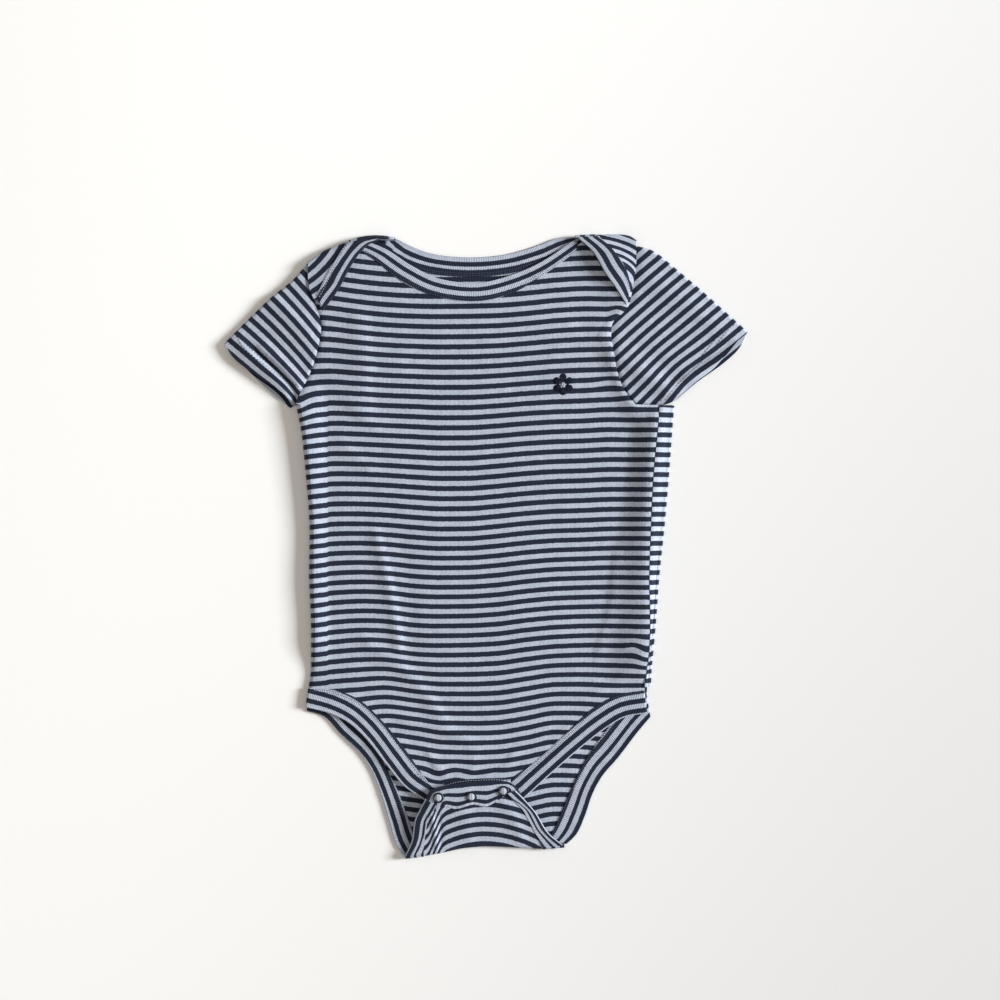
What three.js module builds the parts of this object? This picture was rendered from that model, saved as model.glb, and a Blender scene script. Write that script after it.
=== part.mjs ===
// A short-sleeved baby bodysuit with an envelope neck, laid flat on its back with the front up.
// The crotch flap is folded up over the front and its three snaps are closed.
// Millimetres: X runs across the garment, Y runs up to the neck, Z is up from the surface below.
// Left and right are as seen from above.
import * as THREE from 'three';

// Walls
const CLOTH = 1.2;
const BINDING = 1.8;
const PLACKET = 2.0;
const HEM_EXTRA = 0.5;
const SEAM = 0.36;
const CLEAR = 0.3;

// Height of the middle of each layer above the surface
const BACK_LEVEL = CLOTH / 2;
const BACK_BAND_LEVEL = BINDING / 2;
const FRONT_BAND_LEVEL = BINDING + CLEAR + BINDING / 2;
const FRONT_LEVEL = 2.5;
const FRONT_LOWEST = 2.1;
const SIDE_LEVEL = 3.5;
const LAP_LEVEL = FRONT_BAND_LEVEL + BINDING + CLEAR;
const LAP_TIP_LEVEL = LAP_LEVEL - 0.2;

// Snaps, and the layers that they hold together
const SNAP_CENTRES = [
  { x: -31.6, y: -165.0 },
  { x: -9.8, y: -164.4 },
  { x: 11.2, y: -160.6 },
];
const RING_OUTER = 4.0;
const RING_INNER = 2.5;
const RING_HEIGHT = 0.9;
const RING_SECTION = 8;
const SNAP_SIDES = 18;
const STUD_RADIUS = 4.4;
const STUD_HEIGHT = 1.7;
const STUD_TOP_RADIUS = 3.3;
const STUD_LEVEL = FRONT_BAND_LEVEL + PLACKET / 2 + CLEAR;
const FLAP_LEVEL = STUD_LEVEL + STUD_HEIGHT + CLEAR + PLACKET / 2;
const RING_LEVEL = FLAP_LEVEL + PLACKET / 2 + CLEAR;
const FLAP_FOLD_LEVEL = 3.9;
const FLAP_CLIMB = { from: -200, to: -168 };

// Moves the outline so that the origin lies under the middle of the garment
const ORIGIN_SHIFT = { x: 0.2, y: 0.05 };

// Folds: how far the half-round reaches in plan, and how many steps it takes
const FOLD_REACH = 2.0;
const FOLD_STEPS = 4;
const ROLL_REACH = 3.2;
const ROLL_LOW = 0.75;
const ROLL_STEPS = 3;
const BACK_INSET = 2.2;

// Steps along each edge that two pieces share
const STEPS = {
  lap: 5,
  shoulder: 4,
  neck: 12,
  leg: 9,
  side: 9,
  armhole: 9,
  underarm: 2,
  flap: 5,
  across: 2,
  crotch: 6,
};

// Body sections from hip to underarm: both outer edges, and the side seam that shows on the right
const BODY = [
  { y: -92.4, left: -117.6, right: 108.2, seam: 104.4 },
  { y: -82, left: -116.2, right: 108.6, seam: 105.4 },
  { y: -70, left: -116.1, right: 109.7, seam: 106.7 },
  { y: -50, left: -116.2, right: 111.5, seam: 107.5 },
  { y: -20, left: -117.4, right: 113.7, seam: 107.0 },
  { y: 15, left: -117.2, right: 117.3, seam: 108.2 },
  { y: 50, left: -119.8, right: 120.3, seam: 110.0 },
  { y: 76, left: -122.6, right: 122.2, seam: 112.5 },
  { y: 93, left: -125.9, right: 123.5, seam: 113.9 },
];

// Armholes from the underarm up to the shoulder fold
const ARMHOLE_LEFT = [
  [-125.9, 93], [-121, 105], [-115.4, 117], [-111.6, 129],
  [-109, 146], [-112.4, 159], [-117, 172], [-117.8, 186.4],
];
const ARMHOLE_LEFT_BACK = [
  [-123.7, 93], [-118.5, 108], [-115.5, 128], [-114.6, 148], [-116, 168], [-117, 186],
];
const ARMHOLE_RIGHT = [
  [98, 93.6], [91, 103], [86, 116], [83.5, 130], [82, 141],
  [84, 148.5], [93, 158], [96.5, 173], [98.4, 185], [98.8, 198],
];
const ARMHOLE_RIGHT_BACK = [[98.2, 93.2], [93, 104], [90, 122], [90, 142], [94, 165], [98, 196]];

// Shoulder folds from the outer end to the neck peak, and the front's hidden edge inside them
const SHOULDER_LEFT = [[-117.4, 188], [-107, 194.6]];
const SHOULDER_RIGHT = [[84, 205.6], [94, 204.6], [98.6, 201.8]];
const FRONT_SHOULDER_LEFT = [[-117, 182.6], [-104, 190]];
const FRONT_SHOULDER_RIGHT = [[80, 200.4], [97.6, 194]];
const LAP_END = { left: 0.74, right: 0.76 };

// Lines across each binding, from its seam with the panel to its free edge
const LAP_LEFT = [
  { seam: [-91, 201.3], free: [-71.5, 205] },
  { seam: [-97.5, 193], free: [-83, 193.8] },
  { seam: [-103.5, 182], free: [-91, 181.5] },
  { seam: [-108.4, 173], free: [-97, 170] },
  { seam: [-112.4, 165], free: [-108, 155] },
];
const NECK_BACK = [
  { seam: [-91, 201.3], free: [-71.5, 205] },
  { seam: [-79, 194.5], free: [-64, 204] },
  { seam: [-60, 186], free: [-51, 198.8] },
  { seam: [-40, 180.4], free: [-36.5, 193.5] },
  { seam: [-12, 178], free: [-12, 191] },
  { seam: [14, 180], free: [13, 193] },
  { seam: [38, 187], free: [33, 198.6] },
  { seam: [58, 195.5], free: [47, 203.8] },
  { seam: [73, 205.3], free: [58.4, 204.5] },
];
const LAP_RIGHT = [
  { seam: [73, 205.3], free: [58.4, 204.5] },
  { seam: [82.5, 196], free: [70, 193.5] },
  { seam: [89.5, 187], free: [77.5, 180.5] },
  { seam: [93.2, 179], free: [84.5, 170.8] },
  { seam: [95.2, 170.5], free: [92.3, 158.8] },
];
const NECK_FRONT = [
  { seam: [-88, 197.2], free: [-79, 201.4] },
  { seam: [-75, 189.5], free: [-66, 196] },
  { seam: [-57, 175.2], free: [-50, 185.6] },
  { seam: [-36, 165.6], free: [-32, 177] },
  { seam: [-6, 161], free: [-6, 174] },
  { seam: [18, 167.4], free: [14.5, 178.6] },
  { seam: [40, 180.5], free: [34.5, 187] },
  { seam: [64, 198], free: [57.5, 202] },
];
const LEG_FRONT_LEFT = [
  { seam: [-117.6, -93], free: [-119.6, -106] },
  { seam: [-98, -95.2], free: [-103, -110.4] },
  { seam: [-84, -101], free: [-91, -116.4] },
  { seam: [-70, -113.6], free: [-79, -127.6] },
  { seam: [-54, -133.2], free: [-65, -145.6] },
  { seam: [-44, -147.6], free: [-54, -158.6] },
  { seam: [-35.4, -159.4], free: [-42, -166.6] },
];
const LEG_FRONT_RIGHT = [
  { seam: [104.2, -94.6], free: [106, -110] },
  { seam: [86, -98], free: [91, -112.8] },
  { seam: [70, -106.6], free: [79, -119.8] },
  { seam: [55, -120.4], free: [64, -131.4] },
  { seam: [36, -138.4], free: [46, -147] },
  { seam: [17, -152.4], free: [28, -163.4] },
];
const LEG_BACK_LEFT = [
  { seam: [-116.4, -95.4], free: [-119, -108.6] },
  { seam: [-101, -100.4], free: [-107, -112.6] },
  { seam: [-88, -112.6], free: [-96.5, -124] },
  { seam: [-77, -127], free: [-85, -135.4] },
  { seam: [-66, -146.6], free: [-76.4, -147.6] },
  { seam: [-58, -163], free: [-70, -163.4] },
  { seam: [-52, -179], free: [-64.6, -181] },
  { seam: [-46.6, -193], free: [-60, -196.4] },
  { seam: [-41.4, -204], free: [-54.6, -205.5] },
];
const LEG_BACK_RIGHT = [
  { seam: [105.6, -96.6], free: [108.4, -113] },
  { seam: [90, -108.4], free: [100, -123] },
  { seam: [75, -127], free: [87, -140] },
  { seam: [65, -141.4], free: [77, -151.6] },
  { seam: [58, -155], free: [70.4, -163.6] },
  { seam: [51, -171.4], free: [65.2, -178.6] },
  { seam: [44.4, -187], free: [59.6, -190.4] },
  { seam: [37, -199.2], free: [51.6, -198] },
];
const FLAP_LEFT = [
  { seam: [-41.4, -204], free: [-54.6, -205.5] },
  { seam: [-40.4, -192], free: [-49.4, -194] },
  { seam: [-38, -179.6], free: [-47.2, -180] },
  { seam: [-35.5, -175.2], free: [-43.4, -171.9] },
];
const FLAP_RIGHT = [
  { seam: [37, -199.2], free: [51.6, -198] },
  { seam: [31, -186.4], free: [40.6, -188.4] },
  { seam: [22.6, -171.6], free: [32.4, -175] },
  { seam: [16.2, -163.2], free: [25, -162.8] },
];

// Crotch: the fold at the bottom, and lines up each placket from its seam to its free edge
const BOTTOM_FOLD = [
  [-41.4, -204], [-30, -202], [-15, -198.8], [2, -197.6], [20, -198.4], [37, -199.2],
];
const PLACKET_BACK = [
  { seam: [-42.6, -170.6], free: [-37, -160] },
  { seam: [-35.4, -174.6], free: [-30.6, -157.8] },
  { seam: [-29, -171], free: [-25, -156.8] },
  { seam: [-20, -172.6], free: [-16, -155.4] },
  { seam: [-9, -169.8], free: [-8, -154.8] },
  { seam: [0, -171], free: [1, -154] },
  { seam: [7, -167.4], free: [8, -153.7] },
  { seam: [14.8, -162.2], free: [16, -154.4] },
  { seam: [24, -161.2], free: [21.6, -157.4] },
];
const PLACKET_ENDS = { left: 1, right: 7 };
const PLACKET_FRONT = [
  { seam: [-34.6, -159], free: [-36.4, -171] },
  { seam: [-20, -154.4], free: [-20, -170] },
  { seam: [-2, -152.8], free: [-2, -168.8] },
  { seam: [16.6, -152.8], free: [17, -166.6] },
];

// Sleeves: the fold at the top, the two layers of the hem, and the fold at the underarm
const SLEEVE_LEFT = {
  fold: [[-128, 175.2], [-140.5, 165.2], [-157, 149.6], [-172.6, 134]],
  hemFront: [[-172.6, 134], [-167, 124.6], [-149, 111], [-134, 101], [-129, 95.6]],
  hemBack: [[-172.6, 134], [-161.5, 120.4], [-144, 103], [-134, 94.6], [-129, 91]],
  underarm: [[-126.8, 95.2], [-128, 94.4], [-129, 93.4]],
};
const SLEEVE_RIGHT = {
  fold: [[110, 194.6], [124, 183.6], [141.6, 168.8], [157, 155], [172.2, 141.4]],
  hemFront: [[172.2, 141.4], [168.4, 131.6], [158, 122.6], [140, 110], [125.4, 97.6]],
  hemBack: [[172.2, 141.4], [167, 131], [157, 121.4], [139, 108.4], [125.4, 97]],
  underarm: [[98.9, 94.7], [108, 94.5], [118, 94.9], [125.4, 97.3]],
};
const SLEEVE_TOP = { shoulder: 4.3, underarm: 3.1, hem: 3.9 };
const SLEEVE_GAP = 0.5;
const SLEEVE_SECTIONS = [0, 0.12, 0.26, 0.42, 0.6, 0.76, 0.8, 1];
const HEM_START = 0.8;

// The largest folds of the front: a ridge, or a trough where rise is below zero, between two ends
const FRONT_FOLDS = [
  { name: 'left edge ridge', from: [-121, 70], to: [-112, -84], width: 5.5, rise: 1.3 },
  { name: 'left pressed crease', from: [-105, 88], to: [-102, -40], width: 3, rise: -0.35 },
  { name: 'left hip ridge', from: [-72, 6], to: [-62, -76], width: 6, rise: 1.7 },
  { name: 'left leg fold, upper', from: [-76, -70], to: [-30, -112], width: 5, rise: 1.2 },
  { name: 'left leg fold, lower', from: [-52, -118], to: [-14, -128], width: 4, rise: 0.9 },
  { name: 'right side swell, upper', from: [99, 84], to: [97, 0], width: 10, rise: 1.1 },
  { name: 'right side swell, lower', from: [96, 0], to: [84, -84], width: 13, rise: 1.8 },
  { name: 'right armhole pull', from: [86, 112], to: [58, 104], width: 5, rise: 0.9 },
  { name: 'right chest pull', from: [82, 134], to: [50, 126], width: 6, rise: 0.7 },
  { name: 'left chest ridge', from: [-86, 150], to: [-82, 96], width: 9, rise: 0.8 },
  { name: 'crotch gather, left', from: [-27, -150], to: [-34, -134], width: 3, rise: 0.9 },
  { name: 'crotch gather, middle', from: [-9, -149], to: [-8, -134], width: 3, rise: 0.8 },
  { name: 'crotch gather, right', from: [8, -149], to: [14, -133], width: 3, rise: 0.9 },
];
const SLEEVE_FOLDS = [
  { name: 'left sleeve ridge', from: [-160, 136], to: [-130, 112], width: 7, rise: 1.4 },
  { name: 'left sleeve crease', from: [-142, 115], to: [-127, 101], width: 3, rise: -0.3 },
  { name: 'left shoulder ridge', from: [-136, 158], to: [-120, 142], width: 6, rise: 1.1 },
  { name: 'right sleeve ridge', from: [112, 172], to: [150, 146], width: 7, rise: 1.2 },
  { name: 'right hem wrinkle', from: [164, 132], to: [134, 114], width: 4, rise: 1.3 },
  { name: 'right underarm swell', from: [96, 116], to: [118, 104], width: 6, rise: 1.6 },
];
// Folds die away before they reach the neck and the laps, which lie level
const NECK_ZONE = { from: 148, to: 162 };
const LAP_ZONE = { left: -86, right: 66, soft: 12, low: 130 };
// Beside the right side seam the front climbs to the wrapped side, and falls back below the armhole
const SIDE_CLIMB = { reach: 9, from: 84, to: 104 };
// Share of a sleeve's length over which its folds grow from the armhole seam
const SLEEVE_FOLD_GROWTH = 0.3;
// Points closer together than this are one point of the cloth
const SAME_POINT = 0.001;

const { clamp, lerp, smoothstep } = THREE.MathUtils;
const DEGREE = Math.PI / 180;
const point = (x, y, z = 0) => new THREE.Vector3(x, y, z);
const spline = (rows) => new THREE.CatmullRomCurve3(rows.map(([x, y]) => point(x, y)), false, 'centripetal');
const along = (rows, steps) => spline(rows).getSpacedPoints(steps);
const level = (line, z) => line.map((p) => point(p.x, p.y, typeof z === 'function' ? z(p.x, p.y) : z));
const chain = (...runs) => runs.flatMap((run, i) => (i ? run.slice(1) : run));
const reversed = (line) => [...line].reverse();
const shifted = (line, dx, dy) => line.map((p) => point(p.x + dx, p.y + dy, p.z));

// Height that a set of folds adds at one place
function foldRise(folds, x, y) {
  return folds.reduce((sum, { from, to, width, rise }) => {
    const [dx, dy] = [to[0] - from[0], to[1] - from[1]];
    const length = Math.hypot(dx, dy);
    const run = ((x - from[0]) * dx + (y - from[1]) * dy) / length;
    const side = ((x - from[0]) * dy - (y - from[1]) * dx) / length;
    const past = Math.max(0, -run, run - length);
    return sum + rise * Math.exp(-((side / width) ** 2) - (past / (2 * width)) ** 2);
  }, 0);
}

// Body edge or seam at a height up the garment
function bodyEdge(column, y) {
  const upper = clamp(BODY.filter((row) => row.y < y).length, 1, BODY.length - 1);
  const [low, high] = [BODY[upper - 1], BODY[upper]];
  return lerp(low[column], high[column], clamp((y - low.y) / (high.y - low.y), 0, 1));
}

// Middle of the front panel's wall
function frontHeight(x, y) {
  const neck = smoothstep(y, NECK_ZONE.from, NECK_ZONE.to);
  const outLeft = smoothstep(-x, -LAP_ZONE.left, LAP_ZONE.soft - LAP_ZONE.left);
  const outRight = smoothstep(x, LAP_ZONE.right, LAP_ZONE.right + LAP_ZONE.soft);
  const laps = Math.max(outLeft, outRight) * smoothstep(y, LAP_ZONE.low, NECK_ZONE.from);
  const settled = Math.max(neck, laps);
  const loose = FRONT_LEVEL + foldRise(FRONT_FOLDS, x, y);
  const seam = bodyEdge('seam', y);
  const besideSeam = smoothstep(x, seam - SIDE_CLIMB.reach, seam);
  const climb = besideSeam * (1 - smoothstep(y, SIDE_CLIMB.from, SIDE_CLIMB.to));
  const free = lerp(Math.max(loose, FRONT_LOWEST), SIDE_LEVEL, climb);
  return lerp(free, FRONT_BAND_LEVEL, settled);
}

// Middle of the crotch flap's wall: it climbs from the bottom fold to the closed snaps
function flapHeight(x, y) {
  return lerp(FLAP_FOLD_LEVEL, FLAP_LEVEL, smoothstep(y, FLAP_CLIMB.from, FLAP_CLIMB.to));
}

// Lines across a binding at even steps of its seam, with half the seam gap on either side
function crossLines(rows, steps) {
  const seam = spline(rows.map((row) => row.seam));
  const free = spline(rows.map((row) => row.free));
  return Array.from({ length: steps + 1 }, (_, i) => {
    const t = seam.getUtoTmapping(i / steps);
    const [inner, outer] = [seam.getPoint(t), free.getPoint(t)];
    const gap = outer.clone().sub(inner).setLength(SEAM / 2);
    return { panel: inner.clone().sub(gap), band: inner.clone().add(gap), free: outer };
  });
}

const panelSide = (lines) => lines.map((line) => line.panel);

// Points across a binding, from its seam to its free edge
function bandRow(line, height) {
  const shares = Array.from({ length: STEPS.across + 1 }, (_, i) => i / STEPS.across);
  return level(shares.map((share) => line.band.clone().lerp(line.free, share)), height);
}

// Rows that carry an edge round a fold, from the lower layer to the upper one
function foldRows(edge, inward, low, high) {
  return Array.from({ length: FOLD_STEPS + 1 }, (_, i) => {
    const angle = Math.PI * (i / FOLD_STEPS - 0.5);
    const back = FOLD_REACH * (1 - Math.cos(angle));
    const rise = (1 + Math.sin(angle)) / 2;
    return edge.map((p) => point(p.x + inward.x * back, p.y + inward.y * back, lerp(low, high, rise)));
  });
}

// Unit vector into the garment, square to a fold whose ends are given from left to right or bottom to top
function inwardOf(first, last, turn) {
  const run = point(last.x - first.x, last.y - first.y).normalize();
  return point(-run.y * turn, run.x * turn);
}

// A surface between four edges: columns run from left to right and rows from bottom to top
function coons(bottom, top, left, right) {
  const [rows, columns] = [left.length - 1, bottom.length - 1];
  return left.map((_, j) => bottom.map((__, i) => {
    if (j === 0) return bottom[i];
    if (j === rows) return top[i];
    if (i === 0) return left[j];
    if (i === columns) return right[j];
    const [u, v] = [i / columns, j / rows];
    return bottom[i].clone().multiplyScalar(1 - v).addScaledVector(top[i], v)
      .addScaledVector(left[j], 1 - u).addScaledVector(right[j], u)
      .addScaledVector(bottom[0], -(1 - u) * (1 - v)).addScaledVector(bottom[columns], -u * (1 - v))
      .addScaledVector(top[0], -(1 - u) * v).addScaledVector(top[columns], -u * v);
  }));
}

// A closed wall round the middle surface that the patches make together
function clothSolid(patches, wall, innerAt = () => wall / 2) {
  const middle = [];
  const inner = [];
  const known = new Map();
  const indexOf = (p, row) => {
    const key = [p.x, p.y, p.z].map((n) => Math.round(n / SAME_POINT)).join(' ');
    if (!known.has(key)) {
      known.set(key, middle.length);
      middle.push(p);
      inner.push(innerAt(row));
    }
    return known.get(key);
  };
  const triangles = [];
  for (const grid of patches) {
    for (let j = 0; j + 1 < grid.length; j += 1) {
      for (let i = 0; i + 1 < grid[j].length; i += 1) {
        const a = indexOf(grid[j][i], j);
        const b = indexOf(grid[j][i + 1], j);
        const c = indexOf(grid[j + 1][i + 1], j + 1);
        const d = indexOf(grid[j + 1][i], j + 1);
        const shortAC = middle[a].distanceTo(middle[c]) <= middle[b].distanceTo(middle[d]);
        const pair = shortAC ? [[a, b, c], [a, c, d]] : [[a, b, d], [b, c, d]];
        triangles.push(...pair.filter(([p, q, r]) => p !== q && q !== r && r !== p));
      }
    }
  }
  const normals = middle.map(() => point(0, 0, 0));
  const borders = new Map();
  for (const [a, b, c] of triangles) {
    const normal = middle[b].clone().sub(middle[a]).cross(middle[c].clone().sub(middle[a]));
    for (const [from, to] of [[a, b], [b, c], [c, a]]) {
      normals[from].add(normal);
      if (!borders.delete(`${to} ${from}`)) borders.set(`${from} ${to}`, [from, to]);
    }
  }
  const count = middle.length;
  const faces = triangles.flatMap(([a, b, c]) => [a, b, c, a + count, c + count, b + count]);
  for (const [from, to] of borders.values()) {
    faces.push(to, from, from + count, to, from + count, to + count);
  }
  const outside = middle.map((p, i) => p.clone().addScaledVector(normals[i].normalize(), wall / 2));
  const inside = middle.map((p, i) => p.clone().addScaledVector(normals[i], -inner[i]));
  const geometry = new THREE.BufferGeometry().setFromPoints([...outside, ...inside]);
  geometry.setIndex(faces);
  geometry.computeVertexNormals();
  return geometry;
}

// A place on a line of points, from 0 at its start to 1 at its end
function onLine(line, t) {
  const at = clamp(t, 0, 1) * (line.length - 1);
  const start = Math.min(Math.floor(at), line.length - 2);
  return line[start].clone().lerp(line[start + 1], at - start);
}

// Cross lines that several pieces share
const neckBack = crossLines(NECK_BACK, STEPS.neck);
const lapLeft = crossLines(LAP_LEFT, STEPS.lap);
const lapRight = crossLines(LAP_RIGHT, STEPS.lap);
const neckFront = crossLines(NECK_FRONT, STEPS.neck);
const legFrontLeft = crossLines(LEG_FRONT_LEFT, STEPS.leg);
const legFrontRight = crossLines(LEG_FRONT_RIGHT, STEPS.leg);
const legBackLeft = crossLines(LEG_BACK_LEFT, STEPS.leg);
const legBackRight = crossLines(LEG_BACK_RIGHT, STEPS.leg);
const flapLeft = crossLines(FLAP_LEFT, STEPS.flap);
const flapRight = crossLines(FLAP_RIGHT, STEPS.flap);
const placketFront = crossLines(PLACKET_FRONT, STEPS.crotch);
const columnsBack = 2 * STEPS.shoulder + STEPS.neck + STEPS.underarm;
const placketEndLeft = crossLines(PLACKET_BACK.slice(0, PLACKET_ENDS.left + 1), 1);
const placketMiddle = crossLines(PLACKET_BACK.slice(PLACKET_ENDS.left, PLACKET_ENDS.right + 1), columnsBack);
const placketEndRight = crossLines(PLACKET_BACK.slice(PLACKET_ENDS.right), 1);

// Directions into the garment at its folds
const peakLeft = neckBack[0];
const peakRight = neckBack.at(-1);
const shoulderLeftIn = inwardOf(point(...SHOULDER_LEFT[0]), peakLeft.free, -1);
const shoulderRightIn = inwardOf(peakRight.free, point(...SHOULDER_RIGHT.at(-1)), -1);
const bottomIn = inwardOf(legBackLeft.at(-1).free, legBackRight.at(-1).free, 1);
const sideIn = inwardOf(point(BODY[0].right, BODY[0].y), point(BODY.at(-1).right, BODY.at(-1).y), 1);

// Edges along the sides and the armholes
const sideShares = Array.from({ length: STEPS.side + 1 }, (_, i) => i / STEPS.side);
const sideY = sideShares.map((share) => lerp(BODY[0].y, BODY.at(-1).y, share));
const sideLine = (column, shift) => sideY.map((y) => point(bodyEdge(column, y) + shift, y));
const armholeLeft = along(ARMHOLE_LEFT, STEPS.armhole);
const armholeLeftBack = along(ARMHOLE_LEFT_BACK, STEPS.armhole);
const armholeRight = along(ARMHOLE_RIGHT, STEPS.armhole);
const armholeRightBack = along(ARMHOLE_RIGHT_BACK, STEPS.armhole);

// A front or back between its edges, in two parts that meet level with the underarms
function torso({ bottom, top, sideLeft, sideRight, armholeLeft, armholeRight }) {
  const across = along([sideLeft.at(-1).toArray(), armholeRight[0].toArray()], top.length - 1);
  const height = lerp(sideLeft.at(-1).z, sideRight.at(-1).z, 0.5);
  const underarm = along([armholeRight[0].toArray(), sideRight.at(-1).toArray()], STEPS.underarm);
  const middle = level(chain(across, underarm), height);
  [middle[0], middle[middle.length - 1]] = [sideLeft.at(-1), sideRight.at(-1)];
  middle[top.length - 1] = armholeRight[0];
  const lower = coons(bottom, middle, sideLeft, sideRight);
  const left = [middle[0], ...armholeLeft.slice(1, -1), top[0]];
  const right = [...armholeRight.slice(0, -1), top.at(-1)];
  return [lower, coons(middle.slice(0, top.length), top, left, right)];
}

function backPanel() {
  const flat = (line) => level(line, BACK_LEVEL);
  const shoulderLeft = along([...SHOULDER_LEFT, peakLeft.panel.toArray()], STEPS.shoulder);
  const shoulderRight = along([peakRight.panel.toArray(), ...SHOULDER_RIGHT], STEPS.shoulder);
  const foldLeft = foldRows(shoulderLeft, shoulderLeftIn, BACK_LEVEL, LAP_LEVEL);
  const foldRight = foldRows(shoulderRight, shoulderRightIn, BACK_LEVEL, LAP_LEVEL);
  const foldBottom = foldRows(along(BOTTOM_FOLD, columnsBack), bottomIn, BACK_LEVEL, FLAP_FOLD_LEVEL);
  const foldSide = foldRows(sideLine('right', 0), sideIn, BACK_LEVEL, SIDE_LEVEL);

  const bottom = foldBottom[0];
  const top = [...foldLeft[0], ...flat(panelSide(neckBack.slice(1, -1))), ...foldRight[0]];
  const legUp = (lines) => flat(reversed(panelSide(lines))).slice(1);
  const main = torso({
    bottom,
    top,
    sideLeft: [bottom[0], ...legUp(legBackLeft), ...flat(sideLine('left', BACK_INSET))],
    sideRight: [bottom.at(-1), ...legUp(legBackRight), ...foldSide[0]],
    armholeLeft: flat(armholeLeftBack),
    armholeRight: flat(armholeRightBack),
  });

  const lapPatch = (fold, seamLine, armholeLine, end, seamFirst) => {
    const high = fold.at(-1);
    const tipLevel = (i) => lerp(LAP_LEVEL, LAP_TIP_LEVEL, i / STEPS.lap);
    const seam = panelSide(seamLine).map((p, i) => point(p.x, p.y, tipLevel(i)));
    const armhole = seam.map((_, i) => onLine(armholeLine, lerp(1, end, i / STEPS.lap)).setZ(tipLevel(i)));
    const [left, right] = seamFirst ? [seam, armhole] : [armhole, seam];
    [left[0], right[0]] = [high[0], high.at(-1)];
    const tip = high.map((_, i) => left.at(-1).clone().lerp(right.at(-1), i / STEPS.shoulder));
    return [...fold.slice(0, -1), ...coons(high, tip, left, right)];
  };
  const lapPatchLeft = lapPatch(foldLeft, lapLeft, armholeLeft, LAP_END.left, false);
  const lapPatchRight = lapPatch(foldRight, lapRight, armholeRight, LAP_END.right, true);

  const flapHigh = foldBottom.at(-1);
  const flapTop = level(panelSide(placketMiddle), flapHeight);
  const flapSide = (lines, first, last) => [first, ...level(panelSide(lines.slice(1, -1)), flapHeight), last];
  const flap = coons(flapHigh, flapTop, flapSide(flapLeft, flapHigh[0], flapTop[0]),
    flapSide(flapRight, flapHigh.at(-1), flapTop.at(-1)));
  const flapPatch = reversed([...foldBottom.slice(0, -1), ...flap]);

  const seamEdge = level(sideLine('seam', SEAM / 2), SIDE_LEVEL);
  const wrap = sideY.map((_, j) => [...foldSide.map((row) => row[j]), seamEdge[j]]);
  return clothSolid([...main, lapPatchLeft, lapPatchRight, flapPatch, wrap], CLOTH);
}

function frontPanel() {
  const rise = (line) => level(line, frontHeight);
  const hipLeft = panelSide(legFrontLeft);
  const rollShare = (ROLL_REACH + CLOTH / 2) / hipLeft[0].distanceTo(hipLeft[1]);
  const corner = hipLeft[0].clone().lerp(hipLeft[1], rollShare);
  const hipRight = reversed(panelSide(legFrontRight));
  const bottom = rise([corner, ...hipLeft.slice(1), ...panelSide(placketFront), ...hipRight]);
  const neckLine = panelSide(neckFront);
  const spare = bottom.length - STEPS.underarm - neckLine.length;
  const shoulderLeft = along([...FRONT_SHOULDER_LEFT, neckLine[0].toArray()], Math.floor(spare / 2));
  const shoulderRight = along([neckLine.at(-1).toArray(), ...FRONT_SHOULDER_RIGHT], Math.ceil(spare / 2));
  const main = torso({
    bottom,
    top: rise(chain(shoulderLeft, neckLine, shoulderRight)),
    sideLeft: [bottom[0], ...rise(sideLine('left', CLOTH / 2 + ROLL_REACH)).slice(1)],
    sideRight: [bottom.at(-1), ...rise(sideLine('seam', -SEAM / 2)).slice(1)],
    armholeLeft: rise(armholeLeft),
    armholeRight: rise(armholeRight),
  }).map((patch) => patch.map((row) => rise(row)));

  const roll = sideY.map((y, j) => Array.from({ length: ROLL_STEPS + 1 }, (_, i) => {
    const angle = (Math.PI / 2) * (i / ROLL_STEPS);
    const inner = main[0][j][0];
    const outerX = bodyEdge('left', y) + CLOTH / 2;
    if (i === ROLL_STEPS) return inner;
    const share = 1 - Math.cos(angle);
    const height = lerp(ROLL_LOW, inner.z, Math.sin(angle));
    return point(lerp(outerX, inner.x, share), lerp(y, inner.y, share), height);
  }));
  return clothSolid([...main, roll], CLOTH);
}

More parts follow.
